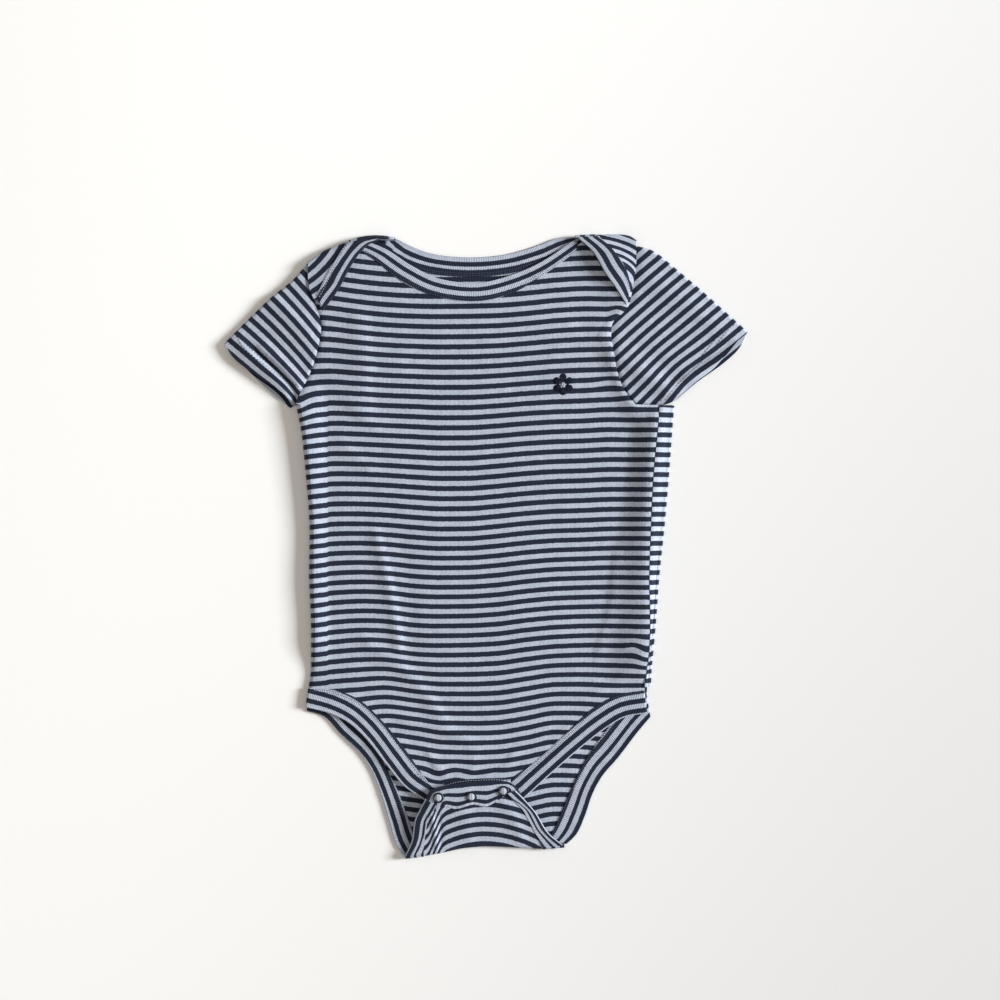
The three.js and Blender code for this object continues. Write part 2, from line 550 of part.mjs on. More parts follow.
// A sleeve is a flattened tube: its sections run from the armhole to the hem
function sleeve(table, armholeFront, armholeBack, outward) {
  const steps = armholeFront.length - 1;
  const front = reversed(shifted(armholeFront, outward * SLEEVE_GAP, 0));
  const back = reversed(shifted(armholeBack, outward * SLEEVE_GAP, 0));
  const underarm = along(table.underarm, SLEEVE_SECTIONS.length);
  front[steps] = underarm[0];
  back[steps] = underarm[0];
  back[0] = front[0];
  const fold = along([front[0].toArray(), ...table.fold], SLEEVE_SECTIONS.length);
  const hemFront = along(table.hemFront, steps);
  const hemBack = along(table.hemBack, steps);
  hemFront[steps] = underarm.at(-1);
  hemBack[steps] = underarm.at(-1);

  const layerAt = (armhole, hem, t, s) => onLine(armhole, t).multiplyScalar(1 - s)
    .addScaledVector(onLine(hem, t), s)
    .addScaledVector(onLine(fold, s), 1 - t).addScaledVector(onLine(underarm, s), t)
    .addScaledVector(fold[0], -(1 - t) * (1 - s)).addScaledVector(fold.at(-1), -(1 - t) * s)
    .addScaledVector(underarm[0], -t * (1 - s)).addScaledVector(underarm.at(-1), -t * s);
  const topLevel = (t, s, x, y) => lerp(lerp(SLEEVE_TOP.shoulder, SLEEVE_TOP.underarm, t), SLEEVE_TOP.hem, s)
    + foldRise(SLEEVE_FOLDS, x, y) * smoothstep(s, 0, SLEEVE_FOLD_GROWTH);

  const arc = (from, to) => Array.from({ length: FOLD_STEPS + 1 }, (_, i) => lerp(from, to, i / FOLD_STEPS));
  const grid = SLEEVE_SECTIONS.map((s) => {
    const width = layerAt(front, hemFront, 0, s).distanceTo(layerAt(front, hemFront, 1, s));
    const reach = FOLD_REACH / width;
    const inner = Array.from({ length: steps - 1 }, (_, i) => (i + 1) / steps);
    const ring = [
      ...arc(-90, 90).map((angle) => ({ t: reach * (1 - Math.cos(angle * DEGREE)), side: angle })),
      ...inner.map((t) => ({ t, side: 90 })),
      ...arc(90, -90).map((angle) => ({ t: 1 - reach * (1 - Math.cos(angle * DEGREE)), side: angle })),
      ...reversed(inner).map((t) => ({ t, side: -90 })),
    ];
    const section = ring.map(({ t, side }) => {
      const share = (1 + Math.sin(side * DEGREE)) / 2;
      const place = layerAt(back, hemBack, t, s).lerp(layerAt(front, hemFront, t, s), share);
      return place.setZ(lerp(BACK_LEVEL, topLevel(t, s, place.x, place.y), share));
    });
    const closed = [...section, section[0]];
    return outward > 0 ? closed : reversed(closed);
  });
  const innerAt = (row) => CLOTH / 2 + (SLEEVE_SECTIONS[row] >= HEM_START ? HEM_EXTRA : 0);
  return clothSolid([grid], CLOTH, innerAt);
}

function neckBindingBack() {
  const peakRows = (line, inward) => foldRows(bandRow(line, 0), inward, BACK_BAND_LEVEL, LAP_LEVEL);
  const grid = [
    ...reversed(lapLeft.slice(1)).map((line) => bandRow(line, LAP_LEVEL)),
    ...reversed(peakRows(peakLeft, shoulderLeftIn)),
    ...neckBack.slice(1, -1).map((line) => bandRow(line, BACK_BAND_LEVEL)),
    ...peakRows(peakRight, shoulderRightIn),
    ...lapRight.slice(1).map((line) => bandRow(line, LAP_LEVEL)),
  ];
  return clothSolid([grid], BINDING);
}

function legBindingBack(leg, flap) {
  const grid = [
    ...leg.slice(0, -1).map((line) => bandRow(line, BACK_BAND_LEVEL)),
    ...foldRows(bandRow(leg.at(-1), 0), bottomIn, BACK_BAND_LEVEL, FLAP_FOLD_LEVEL),
    ...flap.slice(1).map((line) => bandRow(line, flapHeight)),
  ];
  return clothSolid([grid], BINDING);
}

const strip = (lines, height, wall) => clothSolid([lines.map((line) => bandRow(line, height))], wall);

// Open ring of a snap: a rounded section turned about the middle of the snap
function snapRing() {
  const profile = Array.from({ length: RING_SECTION + 1 }, (_, i) => {
    const angle = (2 * Math.PI * i) / RING_SECTION;
    return new THREE.Vector2(
      (RING_OUTER + RING_INNER) / 2 + ((RING_OUTER - RING_INNER) / 2) * Math.cos(angle),
      RING_HEIGHT / 2 + (RING_HEIGHT / 2) * Math.sin(angle),
    );
  });
  return new THREE.LatheGeometry(profile, SNAP_SIDES).rotateX(Math.PI / 2);
}

// Stud and socket, closed on each other
function snapStud() {
  const profile = [
    { radius: 0, z: 0 },
    { radius: STUD_RADIUS, z: 0 },
    { radius: STUD_RADIUS, z: STUD_HEIGHT / 2 },
    { radius: STUD_TOP_RADIUS, z: STUD_HEIGHT },
    { radius: 0, z: STUD_HEIGHT },
  ].map(({ radius, z }) => new THREE.Vector2(radius, z));
  return new THREE.LatheGeometry(profile, SNAP_SIDES).rotateX(Math.PI / 2);
}

const jersey = new THREE.MeshStandardMaterial({ color: '#7f8897', roughness: 0.95, metalness: 0 });
const binding = new THREE.MeshStandardMaterial({ color: '#39424f', roughness: 0.95, metalness: 0 });
const enamel = new THREE.MeshStandardMaterial({ color: '#262c37', roughness: 0.4, metalness: 0.2 });

const garment = new THREE.Group();
function add(name, geometry, material) {
  const mesh = new THREE.Mesh(geometry, material);
  mesh.name = name;
  mesh.position.set(ORIGIN_SHIFT.x, ORIGIN_SHIFT.y, 0);
  garment.add(mesh);
  return mesh;
}

add('back_panel', backPanel(), jersey);
add('front_panel', frontPanel(), jersey);
add('sleeve_left', sleeve(SLEEVE_LEFT, armholeLeft, armholeLeftBack, -1), jersey);
add('sleeve_right', sleeve(SLEEVE_RIGHT, armholeRight, armholeRightBack, 1), jersey);
add('neck_binding_front', strip(neckFront, FRONT_BAND_LEVEL, BINDING), binding);
add('neck_binding_back', neckBindingBack(), binding);
add('leg_binding_front_left', strip(legFrontLeft, FRONT_BAND_LEVEL, BINDING), binding);
add('leg_binding_front_right', strip(legFrontRight, FRONT_BAND_LEVEL, BINDING), binding);
add('leg_binding_back_left', legBindingBack(legBackLeft, flapLeft), binding);
add('leg_binding_back_right', legBindingBack(legBackRight, flapRight), binding);
add('crotch_placket_front', strip(placketFront, FRONT_BAND_LEVEL, PLACKET), binding);
const placketBack = chain(placketEndLeft, placketMiddle, placketEndRight);
add('crotch_placket_back', strip(placketBack, flapHeight, PLACKET), binding);
SNAP_CENTRES.forEach(({ x, y }, i) => {
  const ring = add(`snap_ring_${i + 1}`, snapRing(), enamel);
  ring.position.add(point(x, y, RING_LEVEL));
  const stud = add(`snap_stud_${i + 1}`, snapStud(), enamel);
  stud.position.add(point(x, y, STUD_LEVEL));
});

export default garment;
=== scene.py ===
# A short-sleeved baby bodysuit in striped jersey, laid flat on its back with the crotch snapped shut.
# Every length is in millimetres until a mesh is made. Left and right are as the camera sees them.
import math

import bpy
import numpy as np
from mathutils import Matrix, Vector, noise


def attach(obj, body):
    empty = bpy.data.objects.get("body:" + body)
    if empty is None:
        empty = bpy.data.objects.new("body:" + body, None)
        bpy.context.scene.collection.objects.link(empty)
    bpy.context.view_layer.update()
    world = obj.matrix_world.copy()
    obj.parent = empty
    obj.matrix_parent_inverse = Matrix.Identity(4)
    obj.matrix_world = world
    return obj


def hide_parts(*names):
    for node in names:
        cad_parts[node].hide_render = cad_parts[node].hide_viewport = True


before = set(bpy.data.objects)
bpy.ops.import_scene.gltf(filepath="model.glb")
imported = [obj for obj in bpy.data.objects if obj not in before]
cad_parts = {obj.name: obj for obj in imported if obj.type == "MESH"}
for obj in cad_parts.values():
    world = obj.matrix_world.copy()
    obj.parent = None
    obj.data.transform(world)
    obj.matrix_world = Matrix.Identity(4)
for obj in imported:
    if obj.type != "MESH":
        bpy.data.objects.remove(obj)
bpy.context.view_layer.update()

MM = 0.001
SAME_POINT = 0.001
FINE_STEPS = 40

# The outline of the frame's solids is moved by this to bring the origin under the garment's middle
ORIGIN_SHIFT = np.array([0.2, 0.05, 0.0])

# Walls: the cloth, and a binding's two layers with the panel's edge between them
CLOTH = 1.0
ROLL_CLOTH = 1.2
BAND_HALF = 0.9
BAND_HOLLOW = 0.5
SEAM = 0.36
TUCK = 1.1

# Height of the middle of each layer above the surface
BACK_LEVEL = 0.6
BACK_BAND_LEVEL = 0.9
FRONT_BAND_LEVEL = 3.0
FRONT_LEVEL = 2.75
FRONT_LOWEST = 2.1
SIDE_LEVEL = 3.5
LAP_LEVEL = 5.1
LAP_TIP_LEVEL = 4.9
FLAP_LEVEL = 7.3
FLAP_FOLD_LEVEL = 3.9
FLAP_CLIMB = (-200, -168)
FLAP_FOLDS_START = (-203, -196)
PLACKET_HALF = 1.0
RING_LEVEL = 8.6

# Folds and the rolled left edge
FOLD_REACH = 2.0
FOLD_STEPS = 10
ROLL_REACH = 3.2
ROLL_LOW = 0.75
ROLL_STEPS = 8
BACK_INSET = 2.2

SNAP_CENTRES = ((-31.6, -165.0), (-9.8, -164.4), (11.2, -160.6))
RING_MIDDLE = 2.95
RING_SECTION = (0.6, 0.4)

# One repeat of the stripe in the coordinates that the cloth carries
REPEAT = 6.6


def table(columns, *rows):
    """Rows of numbers as one array for each named column."""
    return dict(zip(columns.split(), np.array(rows, float).T))


def rows_of(columns, *rows):
    """Rows as a list of dictionaries with the named columns."""
    return [dict(zip(columns.split(), row)) for row in rows]


# Body sections from hip to underarm: both outer edges, and the side seam that shows on the right
BODY = table(
    "y left right seam",
    (-92.4, -117.6, 108.2, 104.4),
    (-82, -116.2, 108.6, 105.4),
    (-70, -116.1, 109.7, 106.7),
    (-50, -116.2, 111.5, 107.5),
    (-20, -117.4, 113.7, 107.0),
    (15, -117.2, 117.3, 108.2),
    (50, -119.8, 120.3, 110.0),
    (76, -122.6, 122.2, 112.5),
    (93, -125.9, 123.5, 113.9),
)

# Armholes from the underarm up to the shoulder fold
ARMHOLE_LEFT = [
    (-125.9, 93), (-121, 105), (-115.4, 117), (-111.6, 129),
    (-109, 146), (-112.4, 159), (-117, 172), (-117.8, 186.4),
]
ARMHOLE_LEFT_BACK = [
    (-123.7, 93), (-118.5, 108), (-115.5, 128), (-114.6, 148), (-116, 168), (-117, 186),
]
ARMHOLE_RIGHT = [
    (98, 93.6), (91, 103), (86, 116), (83.5, 130), (82, 141),
    (84, 148.5), (93, 158), (96.5, 173), (98.4, 185), (98.8, 198),
]
ARMHOLE_RIGHT_BACK = [
    (98.2, 93.2), (93, 104), (90, 122), (90, 142), (94, 165), (98, 196),
]

# Shoulder folds from the outer end to the neck peak, and the front's hidden edge inside them
SHOULDER_LEFT = [(-117.4, 188), (-107, 194.6)]
SHOULDER_RIGHT = [(84, 205.6), (94, 204.6), (98.6, 201.8)]
FRONT_SHOULDER_LEFT = [(-117, 182.6), (-104, 190)]
FRONT_SHOULDER_RIGHT = [(80, 200.4), (97.6, 194)]
LAP_END = {"left": 0.74, "right": 0.76}
LAP_STAND = {"left": 1.2, "right": 3.4}
SHOULDER_LEFT_FOLD_END = (-71.5, 205)
LAP_STRIPES_RIGHT = table(
    "y repeats",
    (160, -4.9),
    (187, -2.95),
    (191.8, -2),
    (197.8, -1),
    (203.8, 0),
    (212, 1.36),
)
LAP_STRIPES_FALL = 7.6
LAP_STRIPES_LEFT = {"angle": 45, "through": (-109.5, 184.6), "phase": 0.5, "fan": -0.008}

# Lines across each binding: x and y on its seam with the panel, then x and y on its free edge
LAP_LEFT = [
    (-91, 201.3, -60.5, 203.4),
    (-94.5, 197.5, -76, 199.8),
    (-97.5, 193, -83, 193.8),
    (-103.5, 182, -91, 181.5),
    (-108.4, 173, -97, 170),
    (-112.4, 165, -108, 155),
]
NECK_BACK = [
    (-91, 201.3, -60.5, 203.4),
    (-79, 194.5, -57.6, 202.3),
    (-60, 186, -51, 198.8),
    (-40, 180.4, -36.5, 193.5),
    (-12, 178, -12, 191),
    (14, 180, 13, 193),
    (38, 187, 33, 198.6),
    (58, 195.5, 47, 203.8),
    (73, 205.3, 58.4, 204.5),
]
LAP_RIGHT = [
    (73, 205.3, 58.4, 204.5),
    (82.5, 196, 70, 193.5),
    (89.5, 187, 77.5, 180.5),
    (93.2, 179, 84.5, 170.8),
    (95.2, 170.5, 92.3, 158.8),
]
NECK_FRONT = [
    (-88, 197.2, -79, 201.4),
    (-75, 189.5, -66, 196),
    (-57, 175.2, -50, 185.6),
    (-36, 165.6, -32, 177),
    (-6, 161, -6, 174),
    (18, 167.4, 14.5, 178.6),
    (40, 180.5, 34.5, 187),
    (64, 198, 57.5, 202),
]
LEG_FRONT_LEFT = [
    (-117.6, -93, -119.6, -106),
    (-98, -95.2, -103, -110.4),
    (-84, -101, -91, -116.4),
    (-70, -113.6, -79, -127.6),
    (-54, -133.2, -65, -145.6),
    (-44, -147.6, -54, -158.6),
    (-35.4, -159.4, -42, -166.6),
]
LEG_FRONT_RIGHT = [
    (104.2, -94.6, 106, -110),
    (86, -98, 91, -112.8),
    (70, -106.6, 79, -119.8),
    (55, -120.4, 64, -131.4),
    (36, -138.4, 46, -147),
    (17, -152.4, 28, -163.4),
]
LEG_BACK_LEFT = [
    (-116.4, -95.4, -119, -108.6),
    (-101, -100.4, -107, -112.6),
    (-88, -112.6, -96.5, -124),
    (-77, -127, -85, -135.4),
    (-66, -146.6, -76.4, -147.6),
    (-58, -163, -70, -163.4),
    (-52, -179, -64.6, -181),
    (-46.6, -193, -60, -196.4),
    (-41.4, -204, -54.6, -205.5),
]
LEG_BACK_RIGHT = [
    (105.6, -96.6, 108.4, -113),
    (90, -108.4, 100, -123),
    (75, -127, 87, -140),
    (65, -141.4, 77, -151.6),
    (58, -155, 70.4, -163.6),
    (51, -171.4, 65.2, -178.6),
    (44.4, -187, 59.6, -190.4),
    (37, -199.2, 51.6, -198),
]
FLAP_LEFT = [
    (-41.4, -204, -54.6, -205.5),
    (-40.4, -192, -49.4, -194),
    (-38, -179.6, -47.2, -180),
    (-35.5, -175.2, -43.4, -171.9),
]
FLAP_RIGHT = [
    (37, -199.2, 51.6, -198),
    (31, -186.4, 40.6, -188.4),
    (22.6, -171.6, 32.4, -175),
    (16.4, -166.2, 23.4, -164.4),
]

# Crotch: the fold at the bottom, and lines across each placket in the same columns
BOTTOM_FOLD = [
    (-41.4, -204), (-30, -202), (-15, -198.8), (2, -197.6), (20, -198.4), (37, -199.2),
]
PLACKET_BACK = [
    (-42.6, -170.6, -37, -160),
    (-35.4, -174.6, -30.6, -157.8),
    (-29, -171, -25, -156.8),
    (-20, -172.6, -16, -155.4),
    (-9, -169.8, -8, -154.8),
    (0, -171, 1, -154),
    (7, -167.4, 8, -153.7),
    (13.6, -163.2, 14.2, -154.6),
    (19.2, -164.8, 17.2, -156.2),
    (24.4, -165, 19.8, -158.8),
]
PLACKET_ENDS = (1, 7)
PLACKET_FRONT = [
    (-34.6, -159, -36.4, -171),
    (-20, -154.4, -20, -170),
    (-2, -152.8, -2, -168.8),
    (16.6, -152.8, 17, -166.6),
]

# Sleeves: the fold at the top, the two layers of the hem, and the fold at the underarm
SLEEVE_LEFT = {
    "fold": [(-128, 175.2), (-140.5, 165.2), (-157, 149.6), (-172.6, 134)],
    "hem_front": [(-172.6, 134), (-167, 124.6), (-149, 111), (-134, 101), (-129, 95.6)],
    "hem_back": [(-172.6, 134), (-161.5, 120.4), (-144, 103), (-134, 94.6), (-129, 91)],
    "underarm": [(-126.8, 95.2), (-128, 94.4), (-129, 93.4)],
    "outward": -1,
}
SLEEVE_RIGHT = {
    "fold": [(110, 194.6), (124, 183.6), (141.6, 168.8), (157, 155), (172.2, 141.4)],
    "hem_front": [
        (172.2, 141.4), (166.6, 136.6), (158.6, 127), (150.5, 118.4), (140, 110), (125.4, 97.6),
    ],
    "hem_back": [(172.2, 141.4), (167, 131), (157, 121.4), (139, 108.4), (125.4, 97)],
    "underarm": [(98.9, 93.9), (108, 93.6), (118, 94.2), (125.4, 97.0)],
    "outward": 1,
}
SLEEVE_TOP = {"shoulder": 4.3, "underarm": 3.1, "hem": 3.4}
SLEEVE_GAP = 0.3
SLEEVE_SECTIONS = 52
SLEEVE_FOLD_GROWTH = 0.3
SLEEVE_SEAM = {"drop": 0.8, "share": 0.05}

STEPS = {
    "lap": 26, "shoulder": 18, "neck": 64, "leg": 44, "side": 64, "armhole": 48, "underarm": 10,
    "flap": 26, "sleeve": 64,
}
FRONT_STEPS = {"leg": 62, "crotch": 56, "side": 140, "armhole": 84, "underarm": 14, "neck": 88}

# Folds: a ridge, or a trough where rise is below zero, between two places. Lean makes one flank
# steeper than the other, and bow bends the line to the left of its run
FOLD_COLUMNS = "x0 y0 x1 y1 width rise lean bow"
FRONT_FOLDS = rows_of(
    FOLD_COLUMNS,
    (-72, 4, -58, -66, 3.8, 1.3, 0.3, 1.5),
    (-57, -2, -50, -60, 7.0, -0.6, 0.0, 2.0),
    (-76, -66, -30, -114, 5.0, 1.2, 0.3, 5.0),
    (-52, -116, -12, -128, 4.0, 1.2, 0.3, 2.0),
    (86, -10, 76, -66, 5.0, 0.9, -0.4, 2.0),
    (104, -62, 92, -66, 3.0, 1.3, 0.3, 0.5),
    (106, -74, 90, -84, 2.6, 1.2, 0.3, 1.0),
    (90, 158, 78, 142, 3.0, 1.7, -0.4, -1.5),
    (86, 122, 97, 95, 8.0, 3.2, 0.0, 1.0),
    (84, 124, 44, 112, 5.0, 0.7, -0.2, 1.0),
    (82, 136, 50, 130, 6.0, 0.8, 0.0, -1.0),
    (-86, 158, -82, 96, 8.0, 1.2, 0.3, 2.0),
    (-92, 64, -78, 52, 5.0, 0.9, 0.2, 0.0),
    (-88, 92, -74, 80, 5.0, 0.7, -0.2, 0.0),
    (-96, 112, -60, 120, 5.0, 0.6, 0.0, 1.0),
    (-40, 60, 30, 52, 9.0, 0.5, 0.2, 4.0),
    (-30, 8, 50, 14, 10.0, 0.5, -0.2, -4.0),
    (-24, -60, 44, -52, 9.0, 0.5, 0.3, 5.0),
    (20, -96, 62, -92, 6.0, 0.8, 0.2, 2.0),
    (-27, -151, -37, -138, 2.6, 0.9, 0.2, 1.0),
    (-9, -151, -8, -140, 3.0, 0.5, -0.2, 0.5),
    (8, -150, 17, -138, 3.0, 0.7, 0.2, -1.0),
    (62, 150, 50, 178, 6.0, -0.5, 0.0, 0.0),
    (96, -84, 76, -94, 4.0, 0.9, 0.3, 1.0),
)
LAP_FOLDS = rows_of(
    FOLD_COLUMNS,
    (78, 194, 88, 174, 12.0, 2.6, 0.0, 0.0),
)
BACK_FOLDS = rows_of(
    FOLD_COLUMNS,
    (30, -146, 58, -132, 2.6, 0.8, 0.3, 0.5),
    (24, -150, 56, -150, 2.4, 0.5, -0.2, 0.5),
)
SLEEVE_FOLDS = rows_of(
    FOLD_COLUMNS,
    (-160, 131, -133, 106, 4.0, 1.3, 0.3, -1.0),
    (-150, 127, -127, 101, 2.4, -1.7, 0.2, 1.5),
    (-147, 130, -123, 106, 4.0, 1.6, -0.3, 1.0),
    (-137, 159, -118, 140, 6.0, 1.3, 0.3, 1.0),
    (-152, 140, -122, 122, 5.0, -0.5, 0.0, 1.0),
    (-118, 152, -112, 132, 3.0, 0.7, 0.2, 0.0),
    (112, 172, 150, 146, 7.0, 1.3, 0.2, 2.0),
    (166, 131, 134, 112, 3.2, 1.8, 0.4, 1.0),
    (158, 132, 136, 118, 2.4, -0.5, 0.0, 0.0),
    (96, 116, 118, 104, 6.0, 1.9, 0.2, 2.0),
    (93, 140, 112, 122, 5.0, -0.5, 0.0, 0.0),
)
FLAP_FOLDS = rows_of(
    FOLD_COLUMNS,
    (-36, -176, -33, -200, 1.6, 1.0, 0.2, 0.5),
    (-31, -178, -30, -198, 1.3, -0.4, 0.0, 0.5),
    (-14, -174, -12, -190, 5.0, 0.5, 0.2, 0.0),
    (14, -172, 22, -190, 4.0, 0.7, 0.2, 1.0),
)
FRONT_UNEVEN = rows_of("height size seed", (0.3, 34, 3.1), (0.12, 12, 7.7))
SLEEVE_UNEVEN = {"height": 0.2, "size": 14, "seed": 5.5}
WRAP_UNEVEN = {"size": 8, "seed": 2.3}

# Where the front settles under the laps, climbs to the wrapped side seam and is pressed on the left
NECK_ZONE = (148, 162)
LAP_ZONE = {"left": -86, "right": 66, "soft": 12, "low": 130}
LAP_SETTLES = 0.75
SIDE_CLIMB = {"reach_low": 32, "reach_high": 19, "narrows": (-70, 60), "ends": (86, 104)}
SIDE_RISE = {"most": 5.2, "hip": (-97, -72), "underarm": (84, 97)}
PRESSED_EDGE = {
    "top": (-106.5, 96), "bottom": (-103.6, -74), "starts": (-86, -58), "ends": (88, 112),
    "rise": 5.0, "width": 9.5, "soft": 0.6,
}

# Height of a stripe above its lowest place, as the cloth lies: rows across the body, columns up it
STRIPE_LEVELS = (-123, -65, 11, 92, 152)
STRIPE_RISE = table(
    "x bottom low middle upper top",
    (-121.8, 0.0, 0.0, 0.9, 0.8, 7.0),
    (-103.3, 1.0, 2.0, 3.2, 3.0, 5.7),
    (-84.8, 2.0, 3.6, 3.6, 2.4, 3.2),
    (-66.3, 5.0, 3.2, 2.8, 1.5, 1.3),
    (-47.9, 3.0, 0.5, 1.2, 0.8, 0.3),
    (-29.4, 0.1, 0.0, 0.1, 0.1, 0.0),
    (-10.9, -0.3, 0.3, 0.3, 0.2, 0.2),
    (7.6, 0.1, 1.3, 1.9, 1.3, 0.7),
    (26.1, 3.0, 3.8, 3.9, 2.8, 2.1),
    (44.6, 6.7, 5.7, 5.3, 3.9, 4.0),
    (63.0, 6.2, 6.5, 5.9, 4.5, 5.1),
    (81.5, 4.7, 6.5, 6.7, 5.4, 4.8),
    (100.0, 5.0, 6.3, 6.8, 5.0, 4.4),
)
STRIPE_START = 11.35
STRIPE_SPACING = {"above": 6.68, "below": 6.39}
CREASE_JOG = {"x": (-105.4, -104), "drop": 0.5, "ends": (90, 110)}

# Places where the stripes are pushed up, or pulled down where the rise is below zero
STRIPE_PULLS = rows_of(
    "x y wide tall rise",
    (-33, -151, 6, 6, -2.0),
    (-20, -149, 6, 6, 1.2),
    (-8, -150, 5, 5, -0.7),
    (6, -148, 6, 5, 0.9),
    (106, -72, 6, 9, -2.6),
    (97, -66, 5, 5, 1.0),
    (86, 153, 4, 6, 2.2),
    (96, 98, 9, 6, 1.4),
    (82, 108, 8, 5, 1.2),
    (-125, 92, 7, 14, -3.0),
)


def smoothstep(value, low, high):
    share = np.clip((np.asarray(value, float) - low) / (high - low), 0, 1)
    return share * share * (3 - 2 * share)


def mix(a, b, share):
    return a + (b - a) * share


def unit(v):
    return v / np.maximum(np.linalg.norm(v, axis=-1, keepdims=True), 1e-9)


def curve_at(points, t):
    """Places on a smooth curve through points, where t is 0 at the first and grows by 1 at each."""
    points = np.asarray(points, float)
    t = np.atleast_1d(t)
    knots = np.vstack([2 * points[0] - points[1], points, 2 * points[-1] - points[-2]])
    span = np.clip(np.floor(t).astype(int), 0, len(points) - 2)
    w = (t - span)[:, None]
    near = [knots[span + k] for k in range(4)]
    d0, d1, d2 = (np.sqrt(np.linalg.norm(b - a, axis=1, keepdims=True)) for a, b in zip(near, near[1:]))
    p0, p1, p2, p3 = near
    out = ((p1 - p0) / d0 - (p2 - p0) / (d0 + d1) + (p2 - p1) / d1) * d1
    into = ((p2 - p1) / d1 - (p3 - p1) / (d1 + d2) + (p3 - p2) / d2) * d1
    return p1 + out * w + (3 * (p2 - p1) - 2 * out - into) * w**2 + (2 * (p1 - p2) + out + into) * w**3


def run_of(line):
    """How far along a line of points each of them is."""
    return np.concatenate([[0], np.cumsum(np.linalg.norm(np.diff(line, axis=0), axis=1))])


def sample(line, run, at):
    """Places on a line of points, where run says how far along it each point is."""
    return np.stack([np.interp(at, run, column) for column in np.asarray(line).T], -1)


def on_line(line, t):
    """Places on a line of points, from 0 at its start to 1 at its end."""
    return sample(line, np.arange(len(line)), np.clip(t, 0, 1) * (len(line) - 1))


def even_steps(points, steps):
    """Curve parameters at even steps of the curve's length."""
    fine = np.linspace(0, len(points) - 1, FINE_STEPS * (len(points) - 1) + 1)
    length = run_of(curve_at(points, fine))
    return np.interp(np.linspace(0, length[-1], steps + 1), length, fine)


def along(points, steps):
    return curve_at(points, even_steps(points, steps))


def resample(line, steps):
    """A line of points at even steps of its length."""
    run = run_of(line)
    return sample(line, run, np.linspace(0, run[-1], steps + 1))


def level(line, height):
    """Flat points at one height, or at a height that depends on the place."""
    flat = np.asarray(line, float)[..., :2]
    z = height(flat[..., 0], flat[..., 1]) if callable(height) else height
    return np.concatenate([flat, np.broadcast_to(z, flat.shape[:-1])[..., None]], -1)


def cross_lines(rows, steps):
    """Lines across a binding: the panel's edge tucked in, the seam, and the free edge."""
    seam, free = np.array(rows, float)[:, :2], np.array(rows, float)[:, 2:]
    t = even_steps(seam, steps)
    inner, outer = curve_at(seam, t), curve_at(free, t)
    across = unit(outer - inner)
    return {"panel": inner + across * TUCK, "band": inner + across * SEAM / 2, "free": outer}


def part_of(lines, start, end):
    return {key: line[start:end] for key, line in lines.items()}


BODY_CURVES = {
    side: along(list(zip(BODY[side], BODY["y"])), 240) for side in ("left", "right", "seam")
}


def body_edge(side, y):
    curve = BODY_CURVES[side]
    return np.interp(y, curve[:, 1], curve[:, 0])


def ridges(folds, x, y):
    """Height that a set of folds adds."""
    total = np.zeros(np.broadcast(x, y).shape)
    for fold in folds:
        run_x, run_y = fold["x1"] - fold["x0"], fold["y1"] - fold["y0"]
        length = math.hypot(run_x, run_y)
        run = ((x - fold["x0"]) * run_x + (y - fold["y0"]) * run_y) / length
        share = np.clip(run / length, 0, 1)
        side = ((x - fold["x0"]) * run_y - (y - fold["y0"]) * run_x) / length
        side = side + fold["bow"] * 4 * share * (1 - share)
        width = fold["width"] * (1 + fold["lean"] * np.tanh(side / fold["width"]))
        past = np.maximum(0, np.maximum(-run, run - length))
        total += fold["rise"] * np.exp(-((side / width) ** 2) - (past / (2 * fold["width"])) ** 2)
    return total


def ripple(x, y, size, seed):
    """Smooth uneven heights between about -1 and 1, with features of one size."""
    flat = np.stack([np.ravel(x) / size, np.ravel(y) / size], -1)
    values = [noise.noise(Vector((a, b, seed))) for a, b in flat]
    return np.array(values).reshape(np.shape(x))


def side_level(y):
    """The wrapped side seam stands up between the hip and the underarm."""
    stands = smoothstep(y, *SIDE_RISE["hip"]) * (1 - smoothstep(y, *SIDE_RISE["underarm"]))
    return SIDE_LEVEL + SIDE_RISE["most"] * stands


def pressed_edge(x, y):
    """The left edge slopes down to a pressed crease that runs beside it."""
    top, bottom = PRESSED_EDGE["top"], PRESSED_EDGE["bottom"]
    crease = np.interp(y, (bottom[1], top[1]), (bottom[0], top[0]))
    past = crease - x
    past = (past + np.sqrt(past**2 + PRESSED_EDGE["soft"] ** 2)) / 2
    there = smoothstep(y, *PRESSED_EDGE["starts"]) * (1 - smoothstep(y, *PRESSED_EDGE["ends"]))
    return PRESSED_EDGE["rise"] * np.tanh(past / PRESSED_EDGE["width"]) * there


